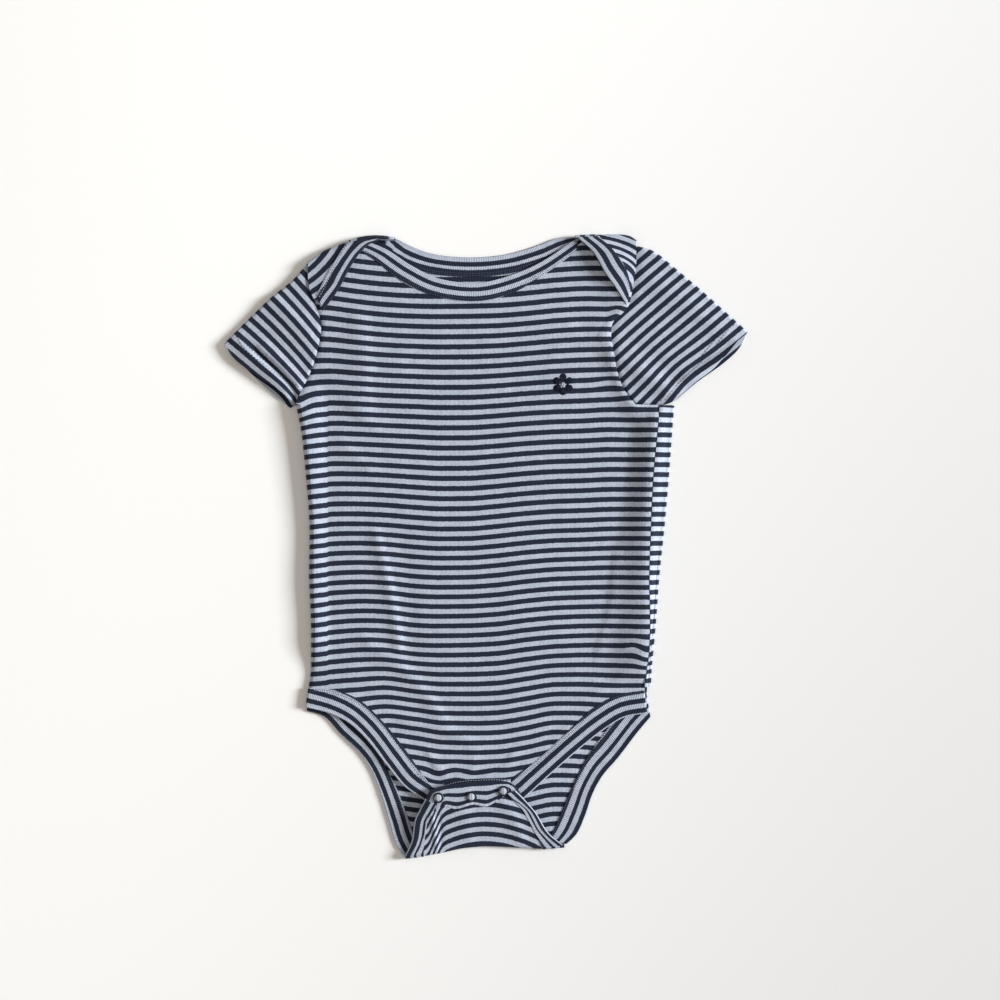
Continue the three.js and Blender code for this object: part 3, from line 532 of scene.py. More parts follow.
def front_height(x, y):
    """Middle of the front panel's wall."""
    neck = smoothstep(y, *NECK_ZONE)
    out_left = smoothstep(-x, -LAP_ZONE["left"], LAP_ZONE["soft"] - LAP_ZONE["left"])
    out_right = smoothstep(x, LAP_ZONE["right"], LAP_ZONE["right"] + LAP_ZONE["soft"])
    laps = np.maximum(out_left, out_right) * smoothstep(y, LAP_ZONE["low"], NECK_ZONE[0])
    settled = np.maximum(neck, LAP_SETTLES * laps)
    loose = FRONT_LEVEL + ridges(FRONT_FOLDS, x, y) + pressed_edge(x, y)
    for uneven in FRONT_UNEVEN:
        loose = loose + uneven["height"] * ripple(x, y, uneven["size"], uneven["seed"])
    seam = body_edge("seam", y)
    narrow = smoothstep(y, *SIDE_CLIMB["narrows"])
    reach = mix(SIDE_CLIMB["reach_low"], SIDE_CLIMB["reach_high"], narrow)
    climb = smoothstep(x, seam - reach, seam) * (1 - smoothstep(y, *SIDE_CLIMB["ends"]))
    free = mix(np.maximum(loose, FRONT_LOWEST), side_level(y), climb)
    return mix(free, FRONT_BAND_LEVEL, settled) + ridges(LAP_FOLDS, x, y)


def flap_height(x, y):
    """Middle of the crotch flap's wall, from the bottom fold to the closed snaps."""
    climb = mix(FLAP_FOLD_LEVEL, FLAP_LEVEL, smoothstep(y, *FLAP_CLIMB))
    return climb + ridges(FLAP_FOLDS, x, y) * smoothstep(y, *FLAP_FOLDS_START)


def stripe_rise(x, y):
    """How far the cloth's stripes lie above their lowest place."""
    columns, *rows = STRIPE_RISE.values()
    at = np.clip((x - columns[0]) / (columns[1] - columns[0]), 0, len(columns) - 1 - SAME_POINT)
    heights = curve_at(np.stack(rows, -1), at.ravel())
    place = np.interp(y.ravel(), STRIPE_LEVELS, np.arange(len(rows)))
    place = np.clip(place, 0, len(rows) - 1 - SAME_POINT)
    low = place.astype(int)
    share = place - low
    index = np.arange(len(low))
    rise = mix(heights[index, low], heights[index, low + 1], share)
    return rise.reshape(x.shape)


def stripe_mark(x, y):
    """Stripe coordinate of the body: navy is centred on whole repeats."""
    jog = (1 - smoothstep(x, *CREASE_JOG["x"])) * (1 - smoothstep(y, *CREASE_JOG["ends"]))
    flat = y - stripe_rise(x, y) + CREASE_JOG["drop"] * jog
    for pull in STRIPE_PULLS:
        away = ((x - pull["x"]) / pull["wide"]) ** 2 + ((y - pull["y"]) / pull["tall"]) ** 2
        flat = flat - pull["rise"] * np.exp(-away)
    above = (flat - STRIPE_START) / STRIPE_SPACING["above"]
    below = (flat - STRIPE_START) / STRIPE_SPACING["below"]
    return np.where(flat > STRIPE_START, above, below) * REPEAT


def body_marks(grid, shift=0.0):
    """Cloth coordinates of a body panel that lies flat."""
    x, y = grid[..., 0], grid[..., 1]
    return np.stack([x, stripe_mark(x, y) + shift], -1)


def fold_rows(edge, inward, low, high):
    """Rows that carry an edge round a fold, from the lower layer to the upper one."""
    angle = np.pi * (np.arange(FOLD_STEPS + 1) / FOLD_STEPS - 0.5)
    back = FOLD_REACH * (1 - np.cos(angle))
    z = mix(low, high, (1 + np.sin(angle)) / 2)
    edge = np.asarray(edge, float)[None, :, :2]
    flat = edge + back[:, None, None] * np.asarray(inward, float)[None, None, :2]
    return np.concatenate([flat, np.broadcast_to(z[:, None, None], flat.shape[:2] + (1,))], -1)


def inward_of(first, last, turn):
    run = unit(np.asarray(last, float)[:2] - np.asarray(first, float)[:2])
    return np.array([-run[1] * turn, run[0] * turn])


def coons(bottom, top, left, right):
    """A surface between four edges: columns run from left to right and rows from bottom to top."""
    u = np.linspace(0, 1, len(bottom))[None, :, None]
    v = np.linspace(0, 1, len(left))[:, None, None]
    grid = (1 - v) * bottom[None] + v * top[None] + (1 - u) * left[:, None] + u * right[:, None]
    grid = grid - (1 - u) * (1 - v) * bottom[0] - u * (1 - v) * bottom[-1]
    grid = grid - (1 - u) * v * top[0] - u * v * top[-1]
    grid[:, 0], grid[:, -1] = left, right
    grid[0], grid[-1] = bottom, top
    return grid


def torso(bottom, top, side_left, side_right, armhole_left, armhole_right, underarm_steps):
    """A front or back between its edges, in two parts that meet level with the underarms."""
    across = along([side_left[-1], armhole_right[0]], len(top) - 1)
    underarm = along([armhole_right[0], side_right[-1]], underarm_steps)
    middle = np.vstack([across, underarm[1:]])
    middle[:, 2] = (side_left[-1][2] + side_right[-1][2]) / 2
    middle[0], middle[-1], middle[len(top) - 1] = side_left[-1], side_right[-1], armhole_right[0]
    lower = coons(bottom, middle, side_left, side_right)
    left = np.vstack([middle[:1], armhole_left[1:-1], top[:1]])
    right = np.vstack([armhole_right[:-1], top[-1:]])
    return lower, coons(middle[: len(top)], top, left, right)


SMOOTH_SHELL = 50
SMOOTH_ROUND = 60


def faces_of(patches):
    """Merged places of a set of patches, their faces, and each face corner's place before merging."""
    places = np.vstack([grid.reshape(-1, 3) for grid, _ in patches])
    keys = np.round(places / SAME_POINT).astype(np.int64)
    _, first, same = np.unique(keys, axis=0, return_index=True, return_inverse=True)
    same = same.ravel()
    quads, start = [], 0
    for grid, _ in patches:
        index = start + np.arange(grid.shape[0] * grid.shape[1]).reshape(grid.shape[:2])
        corners = (index[:-1, :-1], index[:-1, 1:], index[1:, 1:], index[1:, :-1])
        quads.append(np.stack(corners, -1).reshape(-1, 4))
        start += index.size
    corners = [
        [c for k, c in enumerate(quad) if same[c] != same[quad[k - 1]]] for quad in np.vstack(quads).tolist()
    ]
    corners = [face for face in corners if len({int(same[c]) for c in face}) == len(face) > 2]
    faces = [[int(same[c]) for c in face] for face in corners]
    return places[first], faces, corners


def make_object(name, vertices, faces, uvs, material, smooth_angle=SMOOTH_SHELL):
    """A mesh object at the origin from places in millimetres."""
    mesh = bpy.data.meshes.new(name)
    mesh.from_pydata(((np.asarray(vertices) + ORIGIN_SHIFT) * MM).tolist(), [], faces)
    mesh.polygons.foreach_set("use_smooth", [True] * len(mesh.polygons))
    if uvs is not None:
        layer = mesh.uv_layers.new(name="cloth")
        layer.uv.foreach_set("vector", np.asarray(uvs, np.float32).ravel())
    mesh.materials.append(material)
    mesh.set_sharp_from_angle(angle=math.radians(smooth_angle))
    mesh.update()
    piece = bpy.data.objects.new(name, mesh)
    bpy.context.scene.collection.objects.link(piece)
    return piece


def outside_in(piece):
    """True where a closed mesh has its faces pointing in."""
    mesh = piece.data
    mesh.calc_loop_triangles()
    corners = np.array([t.vertices[:] for t in mesh.loop_triangles])
    places = np.empty(len(mesh.vertices) * 3)
    mesh.vertices.foreach_get("co", places)
    p = places.reshape(-1, 3)[corners]
    return np.einsum("ij,ij->i", p[:, 0], np.cross(p[:, 1], p[:, 2])).sum() < 0


def closed_object(name, vertices, faces, uvs, material):
    """A closed round mesh with its faces pointing out."""
    piece = make_object(name, vertices, faces, uvs, material, SMOOTH_ROUND)
    if outside_in(piece):
        piece.data.flip_normals()
    return piece


def shell(name, patches, material):
    """A closed wall of cloth round the middle surface that the patches make together."""
    middle, faces, corners = faces_of(patches)
    marks = np.vstack([m.reshape(-1, 2) for _, m in patches])
    normals = np.zeros_like(middle)
    for size in (3, 4):
        index = np.array([face for face in faces if len(face) == size])
        if len(index):
            p = middle[index]
            normal = np.cross(p[:, 2] - p[:, 0], p[:, -1] - p[:, 1])
            for k in range(size):
                np.add.at(normals, index[:, k], normal)
    normals = unit(normals)
    count = len(middle)
    edges = {}
    for face, corner in zip(faces, corners):
        for k in range(len(face)):
            a, b = face[k - 1], face[k]
            if edges.pop((b, a), None) is None:
                edges[(a, b)] = (corner[k - 1], corner[k])
    rims = [[b, a, a + count, b + count] for a, b in edges]
    rim_marks = [[d, c, c, d] for c, d in edges.values()]
    all_faces = faces + [[v + count for v in reversed(face)] for face in faces] + rims
    all_corners = corners + [list(reversed(corner)) for corner in corners] + rim_marks
    order = np.fromiter((c for corner in all_corners for c in corner), int)
    wall = normals * CLOTH / 2
    return make_object(name, np.vstack([middle + wall, middle - wall]), all_faces, marks[order], material)


def soften_rim(grid, rows, height):
    """Brings the first rows of a grid gently to the height of the binding that holds them."""
    for k in range(rows):
        share = 1 - smoothstep(k, -1, rows)
        grid[k, :, 2] = mix(grid[k, :, 2], height, share)


# Cross lines that several pieces share
neck_back = cross_lines(NECK_BACK, STEPS["neck"])
lap_left = cross_lines(LAP_LEFT, STEPS["lap"])
lap_right = cross_lines(LAP_RIGHT, STEPS["lap"])
leg_back_left = cross_lines(LEG_BACK_LEFT, STEPS["leg"])
leg_back_right = cross_lines(LEG_BACK_RIGHT, STEPS["leg"])
flap_left = cross_lines(FLAP_LEFT, STEPS["flap"])
flap_right = cross_lines(FLAP_RIGHT, STEPS["flap"])
neck_front = cross_lines(NECK_FRONT, FRONT_STEPS["neck"])
leg_front_left = cross_lines(LEG_FRONT_LEFT, FRONT_STEPS["leg"])
leg_front_right = cross_lines(LEG_FRONT_RIGHT, FRONT_STEPS["leg"])
placket_front = cross_lines(PLACKET_FRONT, FRONT_STEPS["crotch"])
columns_back = 2 * STEPS["shoulder"] + STEPS["neck"] + STEPS["underarm"]
placket_middle = cross_lines(PLACKET_BACK[PLACKET_ENDS[0] : PLACKET_ENDS[1] + 1], columns_back)
placket_end_left = cross_lines(PLACKET_BACK[: PLACKET_ENDS[0] + 1], 8)
placket_end_right = cross_lines(PLACKET_BACK[PLACKET_ENDS[1] :], 8)

# A binding's ends are rounded, or dip out of sight where they run on under the next layer. The
# front leg bindings end under the flap, and the back ones under its placket
END_ROUNDING = 1.4
END_THINNEST = 0.2
TUCK_DIP = 1.1
TUCK_REACH = 5
UNDER_FLAP = {"left": (-32, -162.5, -37.6, -171.5), "right": (14.4, -155.2, 23.4, -167.4)}
UNDER_PLACKET = {"left": (-33, -170.5, -40.2, -165.8), "right": (13.2, -162.4, 19.2, -160.2)}

# How far the left peak's fold bows out beyond a straight line, and over how many cross lines
PEAK_BOW = {"most": 2.3, "fade": 5}

# Directions into the garment at its folds
shoulder_left_in = inward_of(SHOULDER_LEFT[0], SHOULDER_LEFT_FOLD_END, -1)
shoulder_right_in = inward_of(neck_back["free"][-1], SHOULDER_RIGHT[-1], -1)
bottom_in = inward_of(leg_back_left["free"][-1], leg_back_right["free"][-1], 1)
side_in = inward_of((BODY["right"][0], BODY["y"][0]), (BODY["right"][-1], BODY["y"][-1]), 1)


def side_line(side, shift, steps):
    y = np.linspace(BODY["y"][0], BODY["y"][-1], steps + 1)
    return np.stack([body_edge(side, y) + shift, y], -1)


def lap_level(side, steps):
    """Height of a lap's middle along its length, from the shoulder fold to the tip."""
    share = np.linspace(0, 1, steps + 1)
    return mix(LAP_LEVEL, LAP_TIP_LEVEL, share) + LAP_STAND[side] * np.sin(np.pi * share) ** 1.2


def turned_marks(grid, angle, through, phase, fan):
    """Cloth coordinates of a layer folded over: stripes run at an angle and pass through a place."""
    x, y = grid[..., 0] - through[0], grid[..., 1] - through[1]
    tilt = math.radians(angle)
    s = x * math.cos(tilt) + y * math.sin(tilt)
    t = -x * math.sin(tilt) + y * math.cos(tilt)
    return np.stack([s, t + fan * s * s + phase * REPEAT], -1)


FLAP_STRIPES = {
    "middle": -1.4, "arch_left": 0.0091, "arch_right": 0.0074, "turn": 15, "turns": (-40, -25),
    "first": -182.7, "spacing": 6.55,
}
BACK_STRIPES = {"drop": 0.2, "from": (150, 176)}


def flap_marks(grid):
    """Stripes of the flap arch upwards, and turn down beside its left binding."""
    x, y = grid[..., 0], grid[..., 1]
    middle = FLAP_STRIPES["middle"]
    left, right = np.maximum(0, middle - x), np.maximum(0, x - middle)
    arch = FLAP_STRIPES["arch_left"] * left**2 + FLAP_STRIPES["arch_right"] * right**2
    turn = FLAP_STRIPES["turn"] * (1 - smoothstep(x, *FLAP_STRIPES["turns"])) ** 1.5
    repeats = (y + arch + turn - FLAP_STRIPES["first"]) / FLAP_STRIPES["spacing"]
    return np.stack([x, repeats * REPEAT], -1)


def lap_marks(grid):
    """Stripes of the right lap fall away from its binding, in curves."""
    share = np.linspace(0, 1, grid.shape[1])[None, :]
    y = grid[..., 1] + LAP_STRIPES_FALL * share**1.5
    repeats = np.interp(y, LAP_STRIPES_RIGHT["y"], LAP_STRIPES_RIGHT["repeats"])
    return np.stack([grid[..., 0], repeats * REPEAT], -1)


def back_marks(grid):
    """Stripes of the back behind the neck opening lie slightly lower than its others."""
    marks = body_marks(grid, REPEAT / 2)
    marks[..., 1] -= REPEAT * BACK_STRIPES["drop"] * smoothstep(grid[..., 1], *BACK_STRIPES["from"])
    return marks


def lap_patch(fold, lines, armhole, side):
    """A lap of the back, from the shoulder fold to its tip."""
    high = fold[-1]
    steps = np.linspace(0, 1, STEPS["lap"] + 1)
    seam = level(lines["panel"], 0)
    seam[:, 2] = lap_level(side, STEPS["lap"])
    outer = level(on_line(along(armhole, STEPS["armhole"]), mix(1, LAP_END[side], steps)), 0)
    outer[:, 2] = mix(LAP_LEVEL, LAP_TIP_LEVEL, steps)
    left, right = (outer, seam) if side == "left" else (seam, outer)
    left[0], right[0] = high[0], high[-1]
    tip = mix(left[-1], right[-1], np.linspace(0, 1, len(high))[:, None])
    return np.concatenate([fold[:-1], coons(high, tip, left, right)])


def flap_patch(fold):
    """The crotch flap, from the bottom fold to its placket."""
    low, top = fold[-1], level(placket_middle["panel"], flap_height)
    sides = [
        np.vstack([low[end], level(lines["panel"][1:-1], flap_height), top[end]])
        for lines, end in ((flap_left, 0), (flap_right, -1))
    ]
    flap = coons(low, top, *sides)
    flap[1:-1, 1:-1] = level(flap[1:-1, 1:-1], flap_height)
    return np.concatenate([fold[:-1], flap])[::-1]


WRAP_ROWS = rows_of("share swell", (0.3, 0.3), (0.6, 0.35), (0.85, 0.2))
WRAP_TUCK = 0.5


def wrap_patch(fold):
    """The strip of the back that wraps round the right side to the seam on the front."""
    seam = level(side_line("seam", SEAM / 2, STEPS["side"]), 0)
    seam[:, 2] = side_level(seam[:, 1])
    rows = []
    for place in WRAP_ROWS:
        row = mix(fold[-1], seam, place["share"])
        row[:, 2] += place["swell"] * (1 + ripple(row[:, 0], row[:, 1], **WRAP_UNEVEN))
        rows.append(row)
    seam[:, 2] -= WRAP_TUCK
    return np.concatenate([fold, rows, seam[None]]).transpose(1, 0, 2)


def back_panel(material):
    shoulder_left = along([*SHOULDER_LEFT, neck_back["panel"][0]], STEPS["shoulder"])
    shoulder_right = along([neck_back["panel"][-1], *SHOULDER_RIGHT], STEPS["shoulder"])
    fold_left = fold_rows(shoulder_left, shoulder_left_in, BACK_LEVEL, LAP_LEVEL)
    fold_right = fold_rows(shoulder_right, shoulder_right_in, BACK_LEVEL, LAP_LEVEL)
    fold_bottom = fold_rows(along(BOTTOM_FOLD, columns_back), bottom_in, BACK_LEVEL, FLAP_FOLD_LEVEL)
    side_edge = side_line("right", 0, STEPS["side"])
    fold_side = fold_rows(side_edge, side_in, BACK_LEVEL, SIDE_LEVEL)

    bottom = fold_bottom[0]
    leg_left = level(leg_back_left["panel"][::-1], BACK_LEVEL)[1:]
    leg_right = level(leg_back_right["panel"][::-1], BACK_LEVEL)[1:]
    neck = level(neck_back["panel"][1:-1], BACK_LEVEL)
    side_left = level(side_line("left", BACK_INSET, STEPS["side"]), BACK_LEVEL)
    lower, upper = torso(
        bottom,
        np.vstack([fold_left[0], neck, fold_right[0]]),
        np.vstack([bottom[:1], leg_left, side_left]),
        np.vstack([bottom[-1:], leg_right, fold_side[0]]),
        level(along(ARMHOLE_LEFT_BACK, STEPS["armhole"]), BACK_LEVEL),
        level(along(ARMHOLE_RIGHT_BACK, STEPS["armhole"]), BACK_LEVEL),
        STEPS["underarm"],
    )
    lower[1:-1, 1:-1, 2] += ridges(BACK_FOLDS, lower[1:-1, 1:-1, 0], lower[1:-1, 1:-1, 1])
    lap_left_patch = lap_patch(fold_left, lap_left, ARMHOLE_LEFT, "left")
    lap_right_patch = lap_patch(fold_right, lap_right, ARMHOLE_RIGHT, "right")
    flap, wrap = flap_patch(fold_bottom), wrap_patch(fold_side)
    patches = [
        (lower, body_marks(lower, REPEAT / 2)),
        (upper, back_marks(upper)),
        (lap_left_patch, turned_marks(lap_left_patch, **LAP_STRIPES_LEFT)),
        (lap_right_patch, lap_marks(lap_right_patch)),
        (flap, flap_marks(flap)),
        (wrap, body_marks(wrap, REPEAT / 2)),
    ]
    return shell("back_panel_cloth", patches, material)


# The front dips at its seams: rows eased to the bindings, and drops from the edge inwards
FRONT_RIM = {"rows": 5, "drops": (0.9, 0.45, 0.1), "from": (92, 98), "start": 3, "at_side": 0.8}


def front_panel(material):
    hip_left, inset = leg_front_left["panel"], ROLL_REACH + ROLL_CLOTH / 2
    run = run_of(hip_left)
    hip_left = np.vstack([sample(hip_left, run, inset), hip_left[run > inset]])
    hip_left = resample(hip_left, FRONT_STEPS["leg"])
    hip_right = leg_front_right["panel"][::-1]
    bottom = level(np.vstack([hip_left, placket_front["panel"], hip_right]), front_height)
    neck_line = neck_front["panel"]
    spare = len(bottom) - FRONT_STEPS["underarm"] - len(neck_line)
    shoulder_left = along([*FRONT_SHOULDER_LEFT, neck_line[0]], spare // 2)
    shoulder_right = along([neck_line[-1], *FRONT_SHOULDER_RIGHT], spare - spare // 2)
    top = np.vstack([shoulder_left, neck_line[1:], shoulder_right[1:]])
    side_left = level(side_line("left", inset, FRONT_STEPS["side"]), front_height)
    side_right = level(side_line("seam", -SEAM / 2, FRONT_STEPS["side"]), front_height)
    side_left[0], side_right[0] = bottom[0], bottom[-1]
    lower, upper = torso(
        bottom,
        level(top, front_height),
        side_left,
        side_right,
        level(along(ARMHOLE_LEFT, FRONT_STEPS["armhole"]), front_height),
        level(along(ARMHOLE_RIGHT, FRONT_STEPS["armhole"]), front_height),
        FRONT_STEPS["underarm"],
    )
    lower, upper = level(lower, front_height), level(upper, front_height)
    soften_rim(lower, FRONT_RIM["rows"], FRONT_BAND_LEVEL)
    for depth, drop in enumerate(FRONT_RIM["drops"]):
        upper[:, depth, 2] -= drop * smoothstep(upper[:, depth, 1], *FRONT_RIM["from"])
        upper[:, -1 - depth, 2] -= drop
        lower[FRONT_RIM["start"] :, -1 - depth, 2] -= drop * FRONT_RIM["at_side"]
    upper[0] = lower[-1, : upper.shape[1]]
    patches = [(grid, body_marks(grid)) for grid in (lower, upper, left_roll(lower[:, 0]))]
    return shell("front_panel_cloth", patches, material)


def left_roll(inner):
    """The front's left edge, rolled down from its inner line."""
    y = np.linspace(BODY["y"][0], BODY["y"][-1], FRONT_STEPS["side"] + 1)
    outer_x = body_edge("left", y) + ROLL_CLOTH / 2
    angle = (np.pi / 2) * np.arange(ROLL_STEPS + 1) / ROLL_STEPS
    share = (1 - np.cos(angle))[None]
    roll = np.stack(
        [
            mix(outer_x[:, None], inner[:, :1], share),
            mix(y[:, None], inner[:, 1:2], share),
            mix(ROLL_LOW, inner[:, 2:3], np.sin(angle)[None]),
        ],
        -1,
    )
    roll[:, -1] = inner
    return roll


# How stripes run on a sleeve, from the fold at the top: along it, and bending towards the underarm.
# They sway towards the hem near its lower end. On the right sleeve the lower layer's stripes are shifted,
# so that a real navy stripe lies along the hem's opening where that layer shows, placed there as painted
# shade
SLEEVE_STRIPES = {
    -1: {
        "tip": (-172.6, 134.0), "shoulder": (-128.0, 175.2), "spacing": 6.6, "first": 3.6,
        "slope": -0.166, "bend": 0.0015, "fan": 0.0026, "back_painted_shade_shift": 0.0,
        "sway": 3.7, "sway_at": 50, "sway_wide": 16, "sway_fade": 13,
    },
    1: {
        "tip": (172.2, 141.4), "shoulder": (110.0, 194.6), "spacing": 6.47, "first": 5.2,
        "slope": -0.171, "bend": 0.0003, "fan": 0.0001, "back_painted_shade_shift": -2.6,
        "sway": 3.3, "sway_at": 49, "sway_wide": 18, "sway_fade": 34,
    },
}
SLEEVE_BACK_BELOW = (0.8, 1.6)


def sleeve_marks(grid, outward):
    stripes = SLEEVE_STRIPES[outward]
    tip = np.array(stripes["tip"])
    run = unit(np.array(stripes["shoulder"]) - tip)
    into = np.array([run[1], -run[0]]) * -outward
    flat = grid[..., :2] - tip
    f, g = flat @ run, flat @ into
    t = f + stripes["slope"] * g + stripes["bend"] * g * g + stripes["fan"] * f * g
    across, down = np.maximum(f, 0) / stripes["sway_fade"], (g - stripes["sway_at"]) / stripes["sway_wide"]
    t = t - stripes["sway"] * np.exp(-(across**2) - down**2)
    # Painted shade: the lower layer's stripes are shifted so that navy lies along the right hem's opening
    t = t + stripes["back_painted_shade_shift"] * (1 - smoothstep(grid[..., 2], *SLEEVE_BACK_BELOW))
    return np.stack([g, (t - stripes["first"]) / stripes["spacing"] * REPEAT], -1)


def sleeve_grid(data, armhole_front, armhole_back):
    """Sections of a flattened tube, from the armhole to the hem."""
    steps = STEPS["sleeve"]
    outward = data["outward"]
    shift = np.array([outward * SLEEVE_GAP, 0])
    front = along(armhole_front, steps)[::-1] + shift
    back = along(armhole_back, steps)[::-1] + shift
    s = np.linspace(0, 1, SLEEVE_SECTIONS + 1)
    underarm = along(data["underarm"], SLEEVE_SECTIONS)
    front[-1] = back[-1] = underarm[0]
    back[0] = front[0]
    fold = along([front[0], *data["fold"]], SLEEVE_SECTIONS)
    hem_front, hem_back = along(data["hem_front"], steps), along(data["hem_back"], steps)
    hem_front[-1] = hem_back[-1] = underarm[-1]

    def layer_at(armhole, hem, t, row):
        q = s[row]
        place = on_line(armhole, t) * (1 - q) + on_line(hem, t) * q
        t = np.asarray(t)[:, None]
        place = place + fold[row] * (1 - t) + underarm[row] * t
        place = place - fold[0] * (1 - t) * (1 - q) - fold[-1] * (1 - t) * q
        return place - underarm[0] * t * (1 - q) - underarm[-1] * t * q

    arc = np.linspace(-90, 90, FOLD_STEPS + 1)
    inner = np.arange(1, steps) / steps
    grid = []
    for row, q in enumerate(s):
        ends = layer_at(front, hem_front, np.array([0.0, 1.0]), row)
        reach = FOLD_REACH / np.linalg.norm(ends[1] - ends[0])
        bulge = reach * (1 - np.cos(np.radians(arc)))
        t = np.concatenate([bulge, inner, 1 - bulge[::-1], inner[::-1]])
        side = np.concatenate([arc, np.full(len(inner), 90.0), arc[::-1], np.full(len(inner), -90.0)])
        share = (1 + np.sin(np.radians(side))) / 2
        place = mix(layer_at(back, hem_back, t, row), layer_at(front, hem_front, t, row), share[:, None])
        x, y = place.T
        folds = ridges(SLEEVE_FOLDS, x, y)
        folds += SLEEVE_UNEVEN["height"] * ripple(x, y, SLEEVE_UNEVEN["size"], SLEEVE_UNEVEN["seed"])
        top = mix(mix(SLEEVE_TOP["shoulder"], SLEEVE_TOP["underarm"], t), SLEEVE_TOP["hem"], q)
        top = top + folds * smoothstep(q, 0, SLEEVE_FOLD_GROWTH)
        top = top - SLEEVE_SEAM["drop"] * (1 - smoothstep(q, 0, SLEEVE_SEAM["share"]))
        section = np.column_stack([place, mix(BACK_LEVEL, top, share)])
        grid.append(np.vstack([section, section[:1]]))
    grid = np.array(grid)
    return grid if outward > 0 else grid[:, ::-1]


def sleeve(name, grid, outward, material):
    return shell(name, [(grid, sleeve_marks(grid, outward))], material)


# The top of a folded strip swells between its seam and its bend
CROWN = {"least": 0.82, "swell": 0.18, "stretch": 1.08}


def band_section(width, half):
    """Closed section of a strip folded over an edge: distance from the seam, height, and the run of
    the cloth from the free edge."""
    reach = width - half
    top = np.linspace(0, 1, 11)
    arc = np.radians(np.linspace(90, -90, 9)[1:-1])
    arch = np.sin(np.pi * np.minimum(1, top * CROWN["stretch"])) ** 0.5
    crown = CROWN["least"] + CROWN["swell"] * arch

    def layer(shares, heights, side):
        heights = np.broadcast_to(heights, shares.shape)
        return [(q * reach, h, side * (reach - q * reach + half)) for q, h in zip(shares, heights)]

    def bend(radius, angles):
        return [(reach + radius * math.cos(a), radius * math.sin(a), half * a / 2) for a in angles]

    outer = layer(top, half * crown, 1) + bend(half, arc) + layer(top[::-2], -half, -1)
    inner = layer(top[::5], -BAND_HOLLOW, -1) + bend(BAND_HOLLOW, arc[::-2])
    return np.array(outer + inner + layer(top[::-5], BAND_HOLLOW, 1))


def stripe_phase(distance, changes, navy_first):
    """Stripe coordinate across a binding, from the places where its colour changes."""
    phase = np.arange(len(changes)) / 2 + (0.25 if navy_first else -0.25)
    places = np.concatenate([[changes[0] - REPEAT], changes, [changes[-1] + REPEAT]])
    phases = np.concatenate([[phase[0] - 1], phase, [phase[-1] + 1]])
    return np.interp(distance, places, phases) * REPEAT


def soft_min(a, b, blend):
    share = np.clip(0.5 + 0.5 * (b - a) / blend, 0, 1)
    return mix(b, a, share) - blend * share * (1 - share)


BAND_END_STEPS = (0, 0.06, 0.16, 0.34, 0.6)
PRESSED_ENDS = {"share": 0.75, "reach": (4, 11), "from_seam": (0.5, 5)}
STRIPE_TURN = {"inset": 0.3, "blend": 3.0}
PUCKER = {"height": 0.1, "rate": 1.9, "sway": 0.8, "sway_rate": 0.37, "reach": 2.5}
WANDER = {"height": 0.14, "size": 9}


def band_relief(q, run, seed):
    """Puckers along a binding's seam, and a slow wander of its top."""
    wave = math.sin(run * PUCKER["rate"] + PUCKER["sway"] * math.sin(run * PUCKER["sway_rate"]))
    pucker = PUCKER["height"] * wave * np.exp(-q / PUCKER["reach"])
    return pucker + WANDER["height"] * noise.noise(Vector((run / WANDER["size"], seed, 0)))


